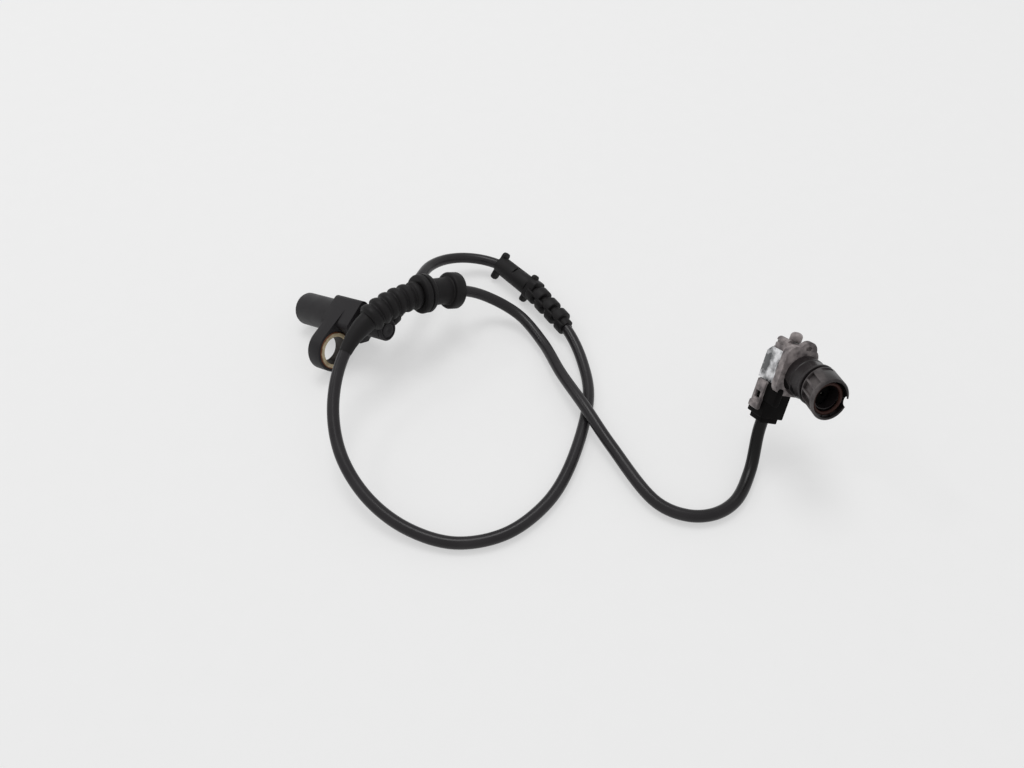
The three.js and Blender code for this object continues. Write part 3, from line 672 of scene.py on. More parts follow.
def add_rust_and_bore_shade(material, inner, outer, bore):
    """Reddish brown rust on the outer edge of the bush, and painted shade on the wall of its bore."""
    links = material.node_tree.links
    socket, clean = base_colour(material)
    radius = marked(material, "radius")
    eaten = material.node_tree.nodes.new("ShaderNodeMath")
    eaten.operation = "ADD"
    links.new(ranged(material, radius, inner, outer), eaten.inputs[0])
    links.new(noise(material, RUST_SPOTS, 5), eaten.inputs[1])
    where = ranged(material, eaten.outputs[0], 0.85, 1.15)
    rusty = mixed(material, where, clean, RUST)
    # Painted shade: the wall of the bore is drawn in the dark colour.
    deep = ranged(material, radius, bore + 0.1 * MM, bore + 0.5 * MM)
    links.new(mixed(material, deep, BORE_PAINTED_SHADE, rusty), socket)


STEEL = surface(
    "bush_steel", colour(128, 112, 84), colour(206, 192, 160), (0.4, 0.6),
    patch=300, spread=0.2, metal=0.4,
)
add_rust_and_bore_shade(STEEL, (BUSH_R - RUST_W) * MM, BUSH_R * MM, BUSH_BORE_R * MM)
print("surface", STEEL.name)

# %% Bush
BUSH_PROUD = 0.35
BUSH_EDGE = 0.4
BORE_EDGE = 0.5


def make_bush():
    low, high = FLANGE_AT - BUSH_PROUD, FLANGE_BACK + BUSH_PROUD
    bush = turned(
        "eye_bush",
        [
            (low, BUSH_BORE_R + BORE_EDGE),
            (low, BUSH_R - BUSH_EDGE),
            (low + BUSH_EDGE, BUSH_R),
            (high - BUSH_EDGE, BUSH_R),
            (high, BUSH_R - BUSH_EDGE),
            (high, BUSH_BORE_R + BORE_EDGE),
            (high - BORE_EDGE, BUSH_BORE_R),
            (low + BORE_EDGE, BUSH_BORE_R),
        ],
        sides=96,
        hollow=True,
    )
    soften(bush, 0.12, 2, 25)
    mark(bush, "radius", lambda point: math.hypot(point.y, point.z))
    move(bush, (0, -EYE_REACH, 0))
    return dress(bush, STEEL, "bush_steel", "mounting_bush", place=HEAD)


make_bush()

# %% [markdown]
# ## The rear cap
#
# A round cap closes the rear cylinder. Its face has one ring groove and a shallow dimple. Both
# could be insets of a disc, and in a turned profile they are a few more pairs of numbers.

# %% Cap
CAP_DISC_R = 3.0
CAP_EDGE = 0.6
CAP_GROOVE = (3.4, 4.3)
CAP_GROOVE_SLANT = 0.2
DIMPLE_R = 1.2
DIMPLE_DEPTH = 0.25


def make_cap():
    seat = HEAD_LENGTH - CAP_T
    floor = HEAD_LENGTH - CAP_EDGE
    cap = turned(
        "head_cap",
        [
            (seat, CAP_DISC_R),
            (seat, REAR_R),
            (floor, REAR_R),
            (HEAD_LENGTH, REAR_R - CAP_EDGE),
            (HEAD_LENGTH, CAP_GROOVE[1]),
            (floor, CAP_GROOVE[1] - CAP_GROOVE_SLANT),
            (floor, CAP_GROOVE[0] + CAP_GROOVE_SLANT),
            (HEAD_LENGTH, CAP_GROOVE[0]),
            (HEAD_LENGTH, DIMPLE_R),
            (HEAD_LENGTH - DIMPLE_DEPTH, DIMPLE_R / 2),
        ],
        sides=48,
    )
    soften(cap, 0.12, 2, 25)
    return dress(cap, HOUSING, "housing_plastic", "rear_cap", place=HEAD)


make_cap()

# %% [markdown]
# ## The boot at the outlet
#
# A ribbed rubber boot keeps the cable from bending sharply where it leaves the head. Its ribs get
# smaller towards the tip. They could be copies of one rib, each scaled, but in one turned profile
# they share a skin, as in the moulding.

# %% Boot
BOOT_R = 6.3
BOOT_ROUND = 0.8
BOOT_COLLAR = 4.4
BOOT_RIB_R = 5.7
BOOT_TIP_R = 4.2
BOOT_RIBS = 4
BOOT_RIB_SHAPE = ((0.1, -1), (0.4, -1), (0.58, 0), (0.95, 0))
CORD_GAP = 0.45
BORE_R = CABLE_D / MM / 2 + CORD_GAP
RUBBER = surface(
    "black_rubber", colour(12, 11, 12), colour(27, 25, 26), (0.46, 0.66), shine=0.22
)


def make_boot():
    seat = OUTLET_LENGTH + SEAT_GAP
    profile = [
        (seat, BORE_R),
        (seat, BOOT_R - BOOT_ROUND),
        (seat + BOOT_ROUND, BOOT_R),
        (seat + BOOT_COLLAR - BOOT_ROUND / 2, BOOT_R),
    ]
    pitch = (BOOT_LENGTH - BOOT_COLLAR) / BOOT_RIBS
    for i in range(BOOT_RIBS):
        radius = BOOT_RIB_R + (BOOT_TIP_R - BOOT_RIB_R) * (i + 1) / BOOT_RIBS
        start = seat + BOOT_COLLAR + i * pitch
        profile += [(start + pitch * at, radius + height) for at, height in BOOT_RIB_SHAPE]
    profile.append((seat + BOOT_LENGTH, BORE_R))
    boot = turned("outlet_boot", profile, sides=48, hollow=True)
    soften(boot, 0.2, 2, 25)
    return dress(to_outlet(boot), RUBBER, "black_rubber", "head_boot", place=HEAD)


make_boot()

# %% [markdown]
# ## The bellows grommet
#
# The grommet seals the hole where the lead goes through the body panel. It has a thin tail, six
# soft ribs, a collar with a groove, a neck and a broad end flange, and it bends with the cable.
# It could be turned ring by ring along the bend, but it is simpler to turn it straight, along X,
# and to bend it afterwards with a curve modifier that follows the bare line.

# %% Grommet sizes
GROMMET_AT = 433.0
TAIL_LENGTH = 11.0
TAIL = ((-8, 2.9), (-8, 3.0), (-4, 3.35), (0, 3.75), (3, 4.15), (7, 4.6), (TAIL_LENGTH, 4.8))
RIBS = 6
RIB_PITCH = 4.95
RIB_R = 6.9
RIB_ROOT_R = 5.7
RIB_SHAPE = (
    (0.06, 0.0),
    (0.14, 0.1),
    (0.22, 0.6),
    (0.3, 0.9),
    (0.4, 1.0),
    (0.56, 0.98),
    (0.72, 0.8),
    (0.86, 0.5),
    (0.96, 0.12),
)
COLLAR_AT = TAIL_LENGTH + RIBS * RIB_PITCH
COLLAR_R = 9.6
COLLAR_W = 6.0
COLLAR_GROOVE = ((-0.5, 0.05), (-0.1, 0.9), (0.2, 0.9), (0.6, 0.05))
NECK_R = 6.8
NECK_LENGTH = 12.0
NECK_WAIST = 0.15
FILLET = 0.5
END_FLANGE_R = 9.2
END_FLANGE_W = 6.6
RIM = 0.9
END_RIM = 1.2
print("grommet's end flange at", round(COLLAR_AT + COLLAR_W + NECK_LENGTH, 1), "mm")


# %% Rims of a disc
def rim_up(face, radius, width):
    """A rounded rim, from a disc's first face out to its full radius."""
    return [(face, radius - width), (face + width / 3, radius - width / 3), (face + width, radius)]


def rim_down(face, radius, width):
    """The rim on the other side, from the full radius back to the disc's second face."""
    return [(face - width, radius), (face - width / 3, radius - width / 3), (face, radius - width)]


# %% The grommet's outline
def grommet_outside():
    outline = list(TAIL)
    for i in range(RIBS):
        start = TAIL_LENGTH + i * RIB_PITCH
        for at, height in RIB_SHAPE:
            outline.append((start + RIB_PITCH * at, RIB_ROOT_R + (RIB_R - RIB_ROOT_R) * height))
    neck = COLLAR_AT + COLLAR_W
    flange_at = neck + NECK_LENGTH
    middle = COLLAR_AT + COLLAR_W / 2
    outline += [(COLLAR_AT, RIB_ROOT_R), *rim_up(COLLAR_AT, COLLAR_R, RIM)]
    outline += [(middle + at, COLLAR_R - depth) for at, depth in COLLAR_GROOVE]
    outline += rim_down(neck, COLLAR_R, RIM)
    outline += [
        (neck, NECK_R + FILLET),
        (neck + FILLET, NECK_R),
        (neck + NECK_LENGTH / 3, NECK_R - NECK_WAIST),
        (neck + NECK_LENGTH * 2 / 3, NECK_R - NECK_WAIST),
        (flange_at - FILLET, NECK_R),
        (flange_at, NECK_R + FILLET),
    ]
    outline += rim_up(flange_at, END_FLANGE_R, RIM)
    outline += rim_down(flange_at + END_FLANGE_W, END_FLANGE_R, END_RIM)
    return outline


# %% Grommet
BORE_STEPS = 16


def onto_cable(obj, start):
    """Bends a straight piece, modelled along X from 0, onto the cable from a distance along it."""
    move(obj, at=(start, 0, 0))
    bend = obj.modifiers.new("bend", "CURVE")
    bend.object = cable_line
    bend.deform_axis = "POS_X"
    return apply_modifiers(obj)


def make_grommet():
    end = COLLAR_AT + COLLAR_W + NECK_LENGTH + END_FLANGE_W
    mouth = [
        (end, END_FLANGE_R - 2 * END_RIM),
        (end - FILLET, END_FLANGE_R - 2 * END_RIM - FILLET),
        (end - FILLET, BORE_R + FILLET),
        (end - 0.2, BORE_R),
    ]
    bore = [(end * (1 - i / BORE_STEPS), BORE_R) for i in range(1, BORE_STEPS)]
    profile = [*grommet_outside(), *mouth, *bore]
    piece = turned("lead_grommet", profile, sides=64, hollow=True)
    onto_cable(piece, GROMMET_AT)
    return dress(piece, RUBBER, "black_rubber", "bellows_grommet")


grommet = make_grommet()

# %% [markdown]
# ## The spool of the bracket clip
#
# The clip holds the lead in a bracket. Two narrow plates stand on a round spool, with a stepped
# foot behind them. It is one stiff moulding that doesn't bend, so it is modelled straight and set
# down along the cable by a matrix. One plate is made and copied to the other end.


# %% Copies
def copy_of(obj, at=(0, 0, 0), turn=(0, 0, 0)):
    """A copy with its own mesh, turned and moved."""
    copied = obj.copy()
    copied.data = obj.data.copy()
    bpy.context.collection.objects.link(copied)
    return move(copied, at, turn)


# %% Spool
CLIP_ROLL = 48.7
PLATE_LOW, PLATE_HIGH = -8.7, 7.3
PLATE_H = 5.0
PLATE_T = 2.2
SPOOL_R = 5.1
SPOOL_LENGTH = 21.4
SPOOL_TAPER = 0.1
SPOOL_GROOVE = (13.2, -3.4, SPOOL_R - 0.9), (14.3, 2.8, SPOOL_R + 2.9)
STEP_W = 11.0
STEP_H = STEP_W * 0.88
STEP_T = 4.2


def make_spool():
    second = PLATE_T + SPOOL_LENGTH
    plate = block(
        "plate", (0, PLATE_LOW, -PLATE_H / 2), (PLATE_T, PLATE_HIGH, PLATE_H / 2), corner=1.8
    )
    soften(plate, 0.4, 3)
    plates = [plate, copy_of(plate, at=(second, 0, 0))]
    for piece in plates:
        move(piece, turn=(CLIP_ROLL, 0, 0))
    ends = [(1, SPOOL_R - SPOOL_TAPER), (second + 1, SPOOL_R + SPOOL_TAPER)]
    spool = cut(turned("spool", ends), block("groove", *SPOOL_GROOVE))
    soften(spool, 0.2, 2)
    step = block(
        "step",
        (second + 1, -STEP_W / 2, -STEP_H / 2),
        (second + PLATE_T + STEP_T, STEP_W / 2, STEP_H / 2),
        corner=2.4,
    )
    soften(step, 0.5, 3)
    move(step, turn=(CLIP_ROLL, 0, 0))
    return gather("clip_spool", spool, step, *plates)


clip_spool = make_spool()
print("spool:", len(clip_spool.data.polygons), "faces")

# %% [markdown]
# ## The clip's strain relief
#
# Behind the clip, half-round lobes stand out of a thin core, three on one side and four on the
# other, and each row fills the gaps of the other one. So the relief bends a little and never
# sharply. A lobe could be a scaled cylinder. It is a full disc of which a boolean keeps one half.

# %% Lobes
LOBE_R = (5.7, 5.2)
LOBE_LENGTH = 5.2
LOBE_ROOT = 0.6


def make_lobe(start, side, radius):
    """Half a disc that stands out of the relief's core on one side."""
    lobe = turned("lobe", [(start, radius), (start + LOBE_LENGTH, radius)], sides=48)
    low, high = (-TOOL_HALF, LOBE_ROOT) if side < 0 else (-LOBE_ROOT, TOOL_HALF)
    keep = block(
        "keep", (start - 1, low, -TOOL_HALF), (start + LOBE_LENGTH + 1, high, TOOL_HALF)
    )
    return soften(combine(lobe, "INTERSECT", [keep]), 0.6, 3)


# %% Relief
RELIEF_CORE_R = 3.5
RELIEF_LENGTH = 27.8
RELIEF_FROM = -1.5
RELIEF_SHIFT = (0, 0.8, 0.2)
CORE_STEPS = 12
LOBE_PITCH = 8.2
LOBE_ROWS = ((1, 3, 2.2), (-1, 4, -1.9))


def make_relief():
    length = RELIEF_LENGTH - RELIEF_FROM
    places = [RELIEF_FROM + length * i / CORE_STEPS for i in range(CORE_STEPS + 1)]
    core = turned("core", [(at, RELIEF_CORE_R) for at in places], sides=40)
    lobes = []
    for side, lobe_count, first in LOBE_ROWS:
        for i in range(lobe_count):
            start = first + i * LOBE_PITCH
            share = max(start, 0) / RELIEF_LENGTH
            lobes.append(make_lobe(start, side, LOBE_R[0] + (LOBE_R[1] - LOBE_R[0]) * share))
    relief = gather("clip_relief", core, *lobes)
    return move(relief, at=RELIEF_SHIFT, turn=(CLIP_ROLL, 0, 0))


clip_relief = make_relief()
print("relief:", len(clip_relief.data.polygons), "faces")

# %% [markdown]
# ## The clip on the cable
#
# The spool and the relief are each straight, and the cable curves gently under them. A curve
# modifier would bend the flat plates too. So each of the two is laid on the chord between two
# points of the cable, and shifted by half of what the cable's bow rises over that chord.


# %% Along the cable
def on_cable(distance):
    """The point of the cable's line at a distance along it, in millimetres."""
    for a, b in zip(line, line[1:]):
        step = (b - a).length / MM
        if distance <= step:
            return a.lerp(b, distance / step)
        distance -= step
    return line[-1]


def along_cable(start, end):
    """The place of a straight piece that lies along the cable from one distance to another."""
    low, high = on_cable(start), on_cable(end)
    x = (high - low).normalized()
    y = Vector((0, 0, 1)).cross(x).normalized()
    turn = Matrix((x, y, x.cross(y))).transposed().to_4x4()
    bow = on_cable((start + end) / 2) - (low + high) / 2
    return Matrix.Translation(low + bow / 2) @ turn


# %% Clip
CLIP_AT = 96.0
CLIP_END = CLIP_AT + 2 * PLATE_T + SPOOL_LENGTH
RELIEF_AT = CLIP_END + STEP_T

set_down(clip_spool, along_cable(CLIP_AT, CLIP_END))
set_down(clip_relief, along_cable(RELIEF_AT, RELIEF_AT + RELIEF_LENGTH))
clip = gather("lead_clip", clip_spool, clip_relief)
dress(clip, RUBBER, "black_rubber", "bracket_clip")

# %% [markdown]
# ## The plastic of the plug
#
# The plug's own plastic is smoother and darker than the head's. Its ring and neck are nearly
# black, while the body, the plate, the arm and the knob are drawn in a pale, cloudy grey. Two
# materials could do that, but the ring goes over from one to the other, and its paler side is a
# painted sheen. So one material has both pairs of shades, and a mark on the points, "pale",
# chooses between them.


# %% Plug plastic
CLOUDS = 230


def add_pale_zone(material, dark, light):
    """A paler pair of shades where a shape carries the mark "pale"."""
    socket, plain = base_colour(material)
    clouds = ranged(material, noise(material, CLOUDS, 4), 0.36, 0.64)
    shades = mixed(material, clouds, dark, light)
    pale = mixed(material, marked(material, "pale"), plain, shades)
    material.node_tree.links.new(pale, socket)


def mark_pale(obj):
    """Marks a shape of the plug as one of its pale grey ones."""
    mark(obj, "pale", lambda point: 1)


PLUG_SKIN = surface(
    "plug_plastic", colour(17, 14, 15), colour(42, 37, 38), (0.3, 0.46), shine=0.32
)
add_pale_zone(PLUG_SKIN, colour(78, 72, 73), colour(150, 142, 141))
print("surface", PLUG_SKIN.name)

# %% [markdown]
# ## The body of the plug
#
# The body is a tall narrow box. Its upper back corner is cut at 45 degrees, and its top has a
# small rounded shoulder and a seam. It could be pushed and pulled out of one cube. Blocks that are
# fused and cut keep each of these forms a line of its own, which is easy to change.

# %% Plug sizes
NECK_AT = 23.6
BODY_BACK, BODY_FRONT = -5.6, 8.2
BODY_HALF = 5.5
BODY_LOW, BODY_HIGH = 15.0, 37.5
BODY_SLOPE = 5.6
LEFT_IN = 0.9
PLATE_FRONT = BODY_FRONT + 2.4
CONE_END = PLATE_FRONT + 12.0
BAND_END = CONE_END + 1.8
RING_FROM = BAND_END + SEAT_GAP
RING_END = RING_FROM + 9.8
print("plug is", round(RING_END - BODY_BACK, 1), "mm from back to rim")

# %% Body
SHOULDER = (-3.8, -4.4, 33), (3.4, -0.6, 38.6)
SEAM = (-4.6, -5.6, 35.6), (1.2, -3.8, 36.8)


def back_slope(x, z):
    """A tool that takes the upper back corner off a box, from a point of its back upwards."""
    tool = block("slope", (-TOOL_REACH, -TOOL_HALF, 0), (0, TOOL_HALF, TOOL_REACH))
    return move(tool, (x, 0, z), (0, 45, 0))


plug_body = block(
    "plug_body",
    (BODY_BACK, -BODY_HALF + LEFT_IN, BODY_LOW),
    (BODY_FRONT, BODY_HALF, BODY_HIGH),
    corner=3.0,
    along="Z",
    segments=6,
)
cut(plug_body, back_slope(BODY_BACK, BODY_HIGH - BODY_SLOPE))
fuse(plug_body, block("shoulder", *SHOULDER, corner=1.7))
cut(plug_body, block("seam", *SEAM))
soften(plug_body, 0.45, 3, 40)
mark_pale(plug_body)
print("plug body:", len(plug_body.data.polygons), "faces")

# %% [markdown]
# ## The front plate and its tab
#
# A broad plate closes the body's front, and a round tab with a slot stands out of its top edge.
# The outline could be drawn as one curve and filled. A block with large corners and a turned disc
# are quicker to fuse, and the slot is cut through both.

# %% Front plate
FRONT_HALF = 8.2
FRONT_LOW, FRONT_HIGH = 15.6, 38.0
TAB_R = 4.4
TAB_AT = (0, 1.8, 36.4)
TAB_SLOT = (BODY_FRONT - INTO, 0.2, 36.9), (PLATE_FRONT + 1, 3.0, 38.7)

tab = move(turned("tab", [(BODY_FRONT, TAB_R), (PLATE_FRONT, TAB_R)]), TAB_AT)
front_plate = block(
    "front_plate",
    (BODY_FRONT - 1, -FRONT_HALF, FRONT_LOW),
    (PLATE_FRONT, FRONT_HALF, FRONT_HIGH),
    corner=4.8,
    segments=8,
)
fuse(front_plate, tab)
cut(front_plate, block("slot", *TAB_SLOT, corner=0.6))
soften(front_plate, 0.45, 3)
mark_pale(front_plate)
print("front plate:", len(front_plate.data.polygons), "faces")

# %% [markdown]
# ## The neck
#
# A thick round neck carries the coupling ring. It leans a little towards the tab, and the ring
# leans with it as far as its open rim, which stays where the CAD model has it. The neck could be
# turned about a slanted axis, but the lean grows along it. So it is turned straight, and then its
# points are shifted in proportion to their distance from the rim.

# %% Lean
RING_LEAN = (1.2, 2.4)
NECK_LEAN = (2.5, -0.5)


def lean(obj):
    """Leans the ring and the neck towards the tab, and leaves the ring's open rim where it is."""
    for vertex in obj.data.vertices:
        x = vertex.co.x / MM
        first = min(max((RING_END - x) / (RING_END - RING_FROM), 0), 1)
        second = min(max((RING_FROM - x) / (RING_FROM - PLATE_FRONT), 0), 1)
        vertex.co.y += (RING_LEAN[0] * first + NECK_LEAN[0] * second) * MM
        vertex.co.z += (RING_LEAN[1] * first + NECK_LEAN[1] * second) * MM


# %% Neck and plug housing
BAND_R = 9.1
SPIGOT_R = 6.2
SPIGOT_BORE_R = 5.6
SPIGOT_END = RING_FROM + 6.4
GROOVE_W = 1.1

neck_profile = [
    (PLATE_FRONT - 0.6, 9.5),
    (PLATE_FRONT + 0.4, 9.3),
    (PLATE_FRONT + 4.5, BAND_R),
    (PLATE_FRONT + 5.0, 8.75),
    (CONE_END - 1.2, 8.7),
    (CONE_END - 0.8, BAND_R),
    (BAND_END - GROOVE_W - 0.3, BAND_R),
    (BAND_END - GROOVE_W, BAND_R - 0.3),
    (BAND_END - GROOVE_W, SPIGOT_R),
    (SPIGOT_END, SPIGOT_R),
    (SPIGOT_END, SPIGOT_BORE_R),
    (PLATE_FRONT, SPIGOT_BORE_R),
]
plug_neck = move(turned("neck", neck_profile, sides=72), (0, 0, NECK_AT))
soften(plug_neck, 0.2, 2)
lean(plug_neck)
plug_shell = gather("plug_shell", plug_body, front_plate, plug_neck)
dress(plug_shell, PLUG_SKIN, "plug_plastic", "plug_housing", place=PLUG)

# %% [markdown]
# ## The coupling ring
#
# The ring locks the plug to its other half. A row of windows runs round it, a small recess lies
# between them, and its rim has a notch. The ring is a turned tube. The windows could be deleted
# faces, but cut ones have walls: one cutter is modelled, copied round the axis, and all of the
# copies are taken out in one boolean.

# %% Ring sizes
RING_R = 8.95
RING_WALL = 1.15
RING_INNER = RING_R - RING_WALL
WINDOWS = 7
WINDOW_AT = RING_FROM + 0.9
WINDOW_L = 7.0
WINDOW_STEP = 27.0
WINDOW_FIRST = 58.0
WINDOW_SHARE = 0.78
RECESS = (WINDOW_AT + 0.2, -2.6, RING_R - 0.6), (WINDOW_AT + 2.0, 2.6, RING_R + 1)
RECESS_TURN = 6
NOTCH = (RING_END - 3.1, 0, -2.1), (RING_END + 2, RING_R + 1, 1.7)
RING_PAINTED_SHEEN = 0.3
print("windows reach over", WINDOWS * WINDOW_STEP, "degrees")


# %% Ring blank and windows
def ring_blank():
    profile = [
        (RING_FROM, RING_INNER),
        (RING_FROM, RING_R - 0.35),
        (RING_FROM + 0.35, RING_R),
        (RING_END - 0.5, RING_R),
        (RING_END, RING_R - 0.5),
        (RING_END, RING_INNER + 0.25),
        (RING_END - 0.25, RING_INNER),
    ]
    return turned("window_ring", profile, sides=100, hollow=True)


def window_cutters():
    half = math.radians(WINDOW_STEP) * RING_R * WINDOW_SHARE / 2
    window = block(
        "window", (WINDOW_AT, -half, RING_INNER - 0.3), (WINDOW_AT + WINDOW_L, half, RING_R + 1)
    )
    angles = [WINDOW_FIRST + WINDOW_STEP * i for i in range(1, WINDOWS)]
    copies = [copy_of(window, turn=(angle, 0, 0)) for angle in angles]
    return gather("windows", move(window, turn=(WINDOW_FIRST, 0, 0)), *copies)


# %% Ring
def make_ring():
    ring = cut(ring_blank(), window_cutters())
    recess = block("recess", *RECESS, corner=0.7, along="Z")
    cut(ring, move(recess, turn=(RECESS_TURN, 0, 0)))
    cut(ring, block("notch", *NOTCH, corner=1.8, along="Y"))
    soften(ring, 0.22, 2, 40)
    # Painted sheen: the ring is drawn paler towards its -Y side, up to 0.3 of the way to the pale
    # shades.
    mark(ring, "pale", lambda point: RING_PAINTED_SHEEN * min(max((-point.y / MM - 1) / 6, 0), 1))
    move(ring, (0, 0, NECK_AT))
    lean(ring)
    return dress(ring, PLUG_SKIN, "plug_plastic", "coupling_ring", place=PLUG)


make_ring()

# %% [markdown]
# ## The entry sleeve
#
# The cable enters the plug from below through a dull black sleeve: a square shaft on a smaller
# step, and a small foot in front of the plate. Three rounded blocks run into each other. They are
# only joined, because their seams lie in the shapes' own corners and don't show.

# %% Sleeve
SHAFT = (-5.5, -5.9, 2.6), (5.5, 5.9, 18)
ENTRY_STEP = (-4.4, -4.4, 0), (4.4, 4.4, 3.2)
SLEEVE_FOOT = (-1, -6.5, 10), (PLATE_FRONT + 0.4, -3.4, 18.4)
SLEEVE = surface("sleeve_rubber", colour(8, 7, 7), colour(15, 14, 14), (0.5, 0.7), shine=0.06)

sleeve_shapes = [
    block("shaft", *SHAFT, corner=2, along="Z", segments=6),
    block("step", *ENTRY_STEP, corner=1.8, along="Z", segments=6),
    block("foot", *SLEEVE_FOOT, corner=1.2),
]
for shape in sleeve_shapes:
    soften(shape, 0.5, 3)
sleeve = gather("cable_sleeve", *sleeve_shapes)
dress(sleeve, SLEEVE, "black_rubber", "entry_sleeve", place=PLUG)

# %% [markdown]
# ## The latch arm
#
# A thin grey arm lies along the sleeve, with a square window and a bulge at its lower end. The
# bulge could be extruded from the arm's end face. It is a second block fused to the first, so that
# its edges can be rounded over and the rounding of sharp edges runs over both.

# %% Arm
ARM_ROOT = -6.2
ARM_HALF = 3.0
ARM_CORNER = 0.8
ARM = (-ARM_HALF, ARM_ROOT - 1.4, 7), (ARM_HALF, ARM_ROOT, 18.6)
BULGE = (-ARM_HALF, ARM_ROOT - 2.1, 5.4), (ARM_HALF, ARM_ROOT, 8.6)
ARM_WINDOW = (-1.7, ARM_ROOT - 5, 10.1), (1.7, ARM_ROOT + 1, 13.5)

arm = block("side_arm", *ARM, corner=ARM_CORNER, along="Y")
fuse(arm, block("bulge", *BULGE, corner=ARM_CORNER))
cut(arm, block("hole", *ARM_WINDOW, corner=0.5, along="Y"))
soften(arm, 0.3, 3)
mark_pale(arm)
dress(arm, PLUG_SKIN, "plug_plastic", "latch_arm", place=PLUG)

# %% [markdown]
# ## The glossy cover
#
# A glossy shell is clipped round the body and mirrors the room in bright streaks. Soft light gives
# it nothing to mirror, so the streaks are painted reflections: its material has pale patches with
# sharp borders. The shell is a block with a smaller block taken out, open above and below, with a
# slot and a sloped back corner.

# %% Cover
COVER_WALL = 0.5
COVER_LOW, COVER_HIGH = 18.5, 33.4
COVER_SLOPE_AT = 30.8
COVER_SLOT = (3.4, -TOOL_HALF, 23.6), (4.4, TOOL_HALF, 29.4)
# Painted reflections: the near-white shade with a narrow spread draws the cover's bright streaks into
# its colour.
GLOSS_PAINTED_REFLECTIONS = surface(
    "gloss_shell", colour(70, 72, 74), colour(236, 236, 238), (0.12, 0.3), patch=190, spread=0.1
)


def make_cover():
    half = BODY_HALF + SEAT_GAP
    back = BODY_BACK - SEAT_GAP
    left = LEFT_IN - half
    low = (back - COVER_WALL, left - COVER_WALL, COVER_LOW)
    high = (BODY_FRONT - 1.2, half + COVER_WALL, COVER_HIGH)
    cover = block("glossy_cover", low, high, corner=3.2, along="Z", segments=6)
    inner_low, inner_high = (back, left, 17), (BODY_FRONT + INTO, half, 35)
    cut(cover, block("inner", inner_low, inner_high, corner=3.0, along="Z", segments=6))
    cut(cover, block("slot", *COVER_SLOT, corner=0.4, along="Y"))
    cut(cover, back_slope(back - COVER_WALL, COVER_SLOPE_AT))
    soften(cover, 0.15, 2)
    return dress(cover, GLOSS_PAINTED_REFLECTIONS, "gloss_shell", "body_cover", place=PLUG)


make_cover()

# %% [markdown]
# ## The knob on top
#
# A low round knob stands on the body. A sphere could be cut in half, but the knob has a straight
# foot under its dome, so it is turned from six pairs of height and radius and stood upright.

# %% Knob
KNOB = ((0, 2.4), (0.3, 2.7), (2.6, 2.7), (3.5, 2.2), (4.0, 1.4), (4.2, 0.5))
KNOB_SIDE = 2


def make_knob():
    foot = BODY_HIGH + SEAT_GAP
    knob = turned("top_knob", [(foot + height, radius) for height, radius in KNOB], sides=40)
    move(knob, turn=(0, -90, 0))
    move(knob, (0, KNOB_SIDE, 0))
    mark_pale(knob)
    return dress(knob, PLUG_SKIN, "plug_plastic", "top_lug", place=PLUG)


make_knob()

# %% [markdown]
# ## Pieces that keep their CAD shape
#
# The chip, the magnet, the cores and the contacts lie inside, and the seal shows only in the dark
# of the mouth. They could be modelled again, but their CAD shape is enough, so they only get their
# surface: tin, brown and blue insulation, and a reddish seal.

# %% Inner pieces
TIN = surface(
    "contact_tin", colour(150, 146, 136), colour(200, 196, 184), (0.25, 0.4), metal=1.0
)
BROWN = surface("core_brown", colour(84, 52, 32), colour(104, 68, 42), (0.4, 0.5))
BLUE = surface("core_blue", colour(28, 56, 112), colour(38, 70, 132), (0.4, 0.5))
SEAL = surface("seal_rubber", colour(38, 20, 16), colour(56, 30, 24), (0.5, 0.66), shine=0.2)
INNER = {
    "element_carrier": PLUG_SKIN,
    "sensing_chip": SLEEVE,
    "bias_magnet": TIN,
    "lead_strip_1": TIN,
    "lead_strip_2": TIN,
    "head_core_1": BROWN,
    "head_core_2": BLUE,
    "contact_carrier": SLEEVE,
    "contact_pin_1": TIN,
    "contact_pin_2": TIN,
    "mouth_seal": SEAL,
    "plug_core_1": BROWN,
    "plug_core_2": BLUE,
}
for name, material in INNER.items():
    node = NODES[name]
    node.data.materials.clear()
    node.data.materials.append(material)
print("resurfaced", len(INNER), "nodes")

# %% [markdown]
# ## The cable's jacket
#
# The jacket is smoother than the mouldings and carries a long soft highlight. Near the plug it is
# darkened to nearly black with painted shade, and along the loop it keeps its grey. Two materials
# would leave a hard border, so one material fades by its distance from the plug.

# %% Jacket
# Painted shade: the nearly black colour that the jacket takes close to the plug.
JACKET_PAINTED_SHADE = colour(7, 6, 6)


def add_painted_shade_near(material, centre, near, far):
    """Paints shade close to a point: nearly black there, fading out between near and far."""
    nodes, links = material.node_tree.nodes, material.node_tree.links
    socket, unshaded = base_colour(material)
    place = nodes.new("ShaderNodeTexCoord")
    reach = nodes.new("ShaderNodeVectorMath")
    reach.operation = "DISTANCE"
    reach.inputs[1].default_value = centre
    links.new(place.outputs["Object"], reach.inputs[0])
    away = ranged(material, reach.outputs["Value"], near, far)
    links.new(mixed(material, away, JACKET_PAINTED_SHADE, unshaded), socket)


JACKET = surface(
    "cable_jacket", colour(24, 22, 24), colour(48, 46, 48), (0.24, 0.34), patch=60, shine=0.24
)
# Painted shade: nearly black within 15 mm of the plug, fading to the jacket's own grey by 60 mm.
add_painted_shade_near(JACKET, PLUG_AT, 15 * MM, 60 * MM)
cable.data.materials.append(JACKET)
print("surface", JACKET.name)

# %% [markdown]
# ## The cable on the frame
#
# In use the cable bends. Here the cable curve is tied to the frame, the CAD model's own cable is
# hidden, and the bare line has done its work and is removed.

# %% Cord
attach(cable, ROOT)
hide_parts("cable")
bpy.data.objects.remove(cable_line)

# %% [markdown]
# ## The table
#
# The part lies on white paper. More light would burn out the part's pale spots and its painted
# reflections, so the paper is partly a glow that only the camera, mirrors and glass see. The rest
# of it is a plain matt surface, which takes the light and keeps the part's shadow.

# %% Glow of the paper
PAPER_GLOW = 0.55
PAPER_WHITE = colour(238, 238, 238)


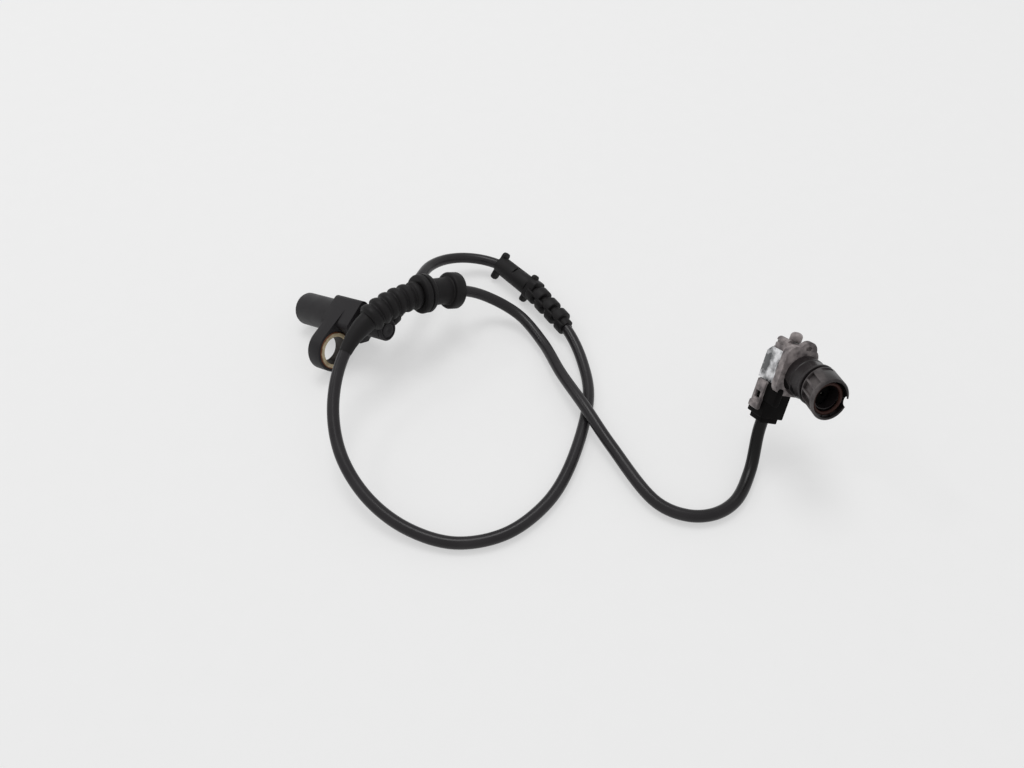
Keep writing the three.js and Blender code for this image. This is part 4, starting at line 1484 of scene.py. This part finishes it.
def add_glow(material, shade, strength):
    """Mixes in a share of plain light that doesn't fall on other surfaces."""
    nodes, links = material.node_tree.nodes, material.node_tree.links
    rays = nodes.new("ShaderNodeLightPath")
    seen = rays.outputs["Is Camera Ray"]
    for name in ("Is Glossy Ray", "Is Transmission Ray"):
        either = nodes.new("ShaderNodeMath")
        either.operation = "MAXIMUM"
        links.new(seen, either.inputs[0])
        links.new(rays.outputs[name], either.inputs[1])
        seen = either.outputs[0]
    share = nodes.new("ShaderNodeMath")
    share.operation = "MULTIPLY"
    share.inputs[1].default_value = strength
    links.new(seen, share.inputs[0])
    glow = nodes.new("ShaderNodeEmission")
    glow.inputs["Color"].default_value = shade
    blend = nodes.new("ShaderNodeMixShader")
    links.new(share.outputs[0], blend.inputs[0])
    links.new(nodes["Principled BSDF"].outputs[0], blend.inputs[1])
    links.new(glow.outputs[0], blend.inputs[2])
    links.new(blend.outputs[0], nodes["Material Output"].inputs["Surface"])


# %% Table
TABLE_SIZE = 6
TABLE_Z = -0.0002
PAPER = surface(
    "table_paper", colour(236, 236, 236), colour(240, 240, 240), (0.8, 0.9), patch=90
)
add_glow(PAPER, PAPER_WHITE, PAPER_GLOW)

clear_selection()
bpy.ops.mesh.primitive_plane_add(size=TABLE_SIZE, location=(0, 0, TABLE_Z))
table = bpy.context.object
table.name = "table"
bpy.ops.object.transform_apply(location=True, rotation=True, scale=True)
table.data.materials.append(PAPER)
print("table of", TABLE_SIZE, "m")

# %% [markdown]
# ## The light
#
# Dark plastic with a dull gloss shows its form by its highlights. One broad lamp above and behind the
# part draws a soft line along the cable, a small weak one at the left lifts the head's side, and
# the even sky fills the shadows. A hard lamp would be simpler, but its shadows are too dark.


# %% Lamps
def lamp(name, at, aim, size, power):
    clear_selection()
    bpy.ops.object.light_add(type="AREA", location=at)
    light = bpy.context.object
    light.name = name
    light.data.shape = "DISK"
    light.data.size = size
    light.data.energy = power
    light.rotation_euler = (Vector(aim) - Vector(at)).to_track_quat("-Z", "Y").to_euler()
    print("lamp", name, power, "W")


lamp("sky_panel", (-0.1, 0.7, 2.0), (0.08, -0.03, 0), size=1.0, power=13)
lamp("side_panel", (-0.8, 0.3, 0.9), (0.05, -0.03, 0), size=0.14, power=0.8)

# %% Sky
SKY_STRENGTH = 0.66

world = bpy.data.worlds.new("sky")
world.use_nodes = True
sky = world.node_tree.nodes["Background"]
sky.inputs["Color"].default_value = (1, 1, 1, 1)
sky.inputs["Strength"].default_value = SKY_STRENGTH
bpy.context.scene.world = world
bpy.context.scene.view_settings.view_transform = "Standard"
print("sky strength", SKY_STRENGTH)

# %% [markdown]
# ## Finish
#
# The selection is cleared and the scene is brought up to date.

# %% Finish
clear_selection()
bpy.context.view_layer.update()
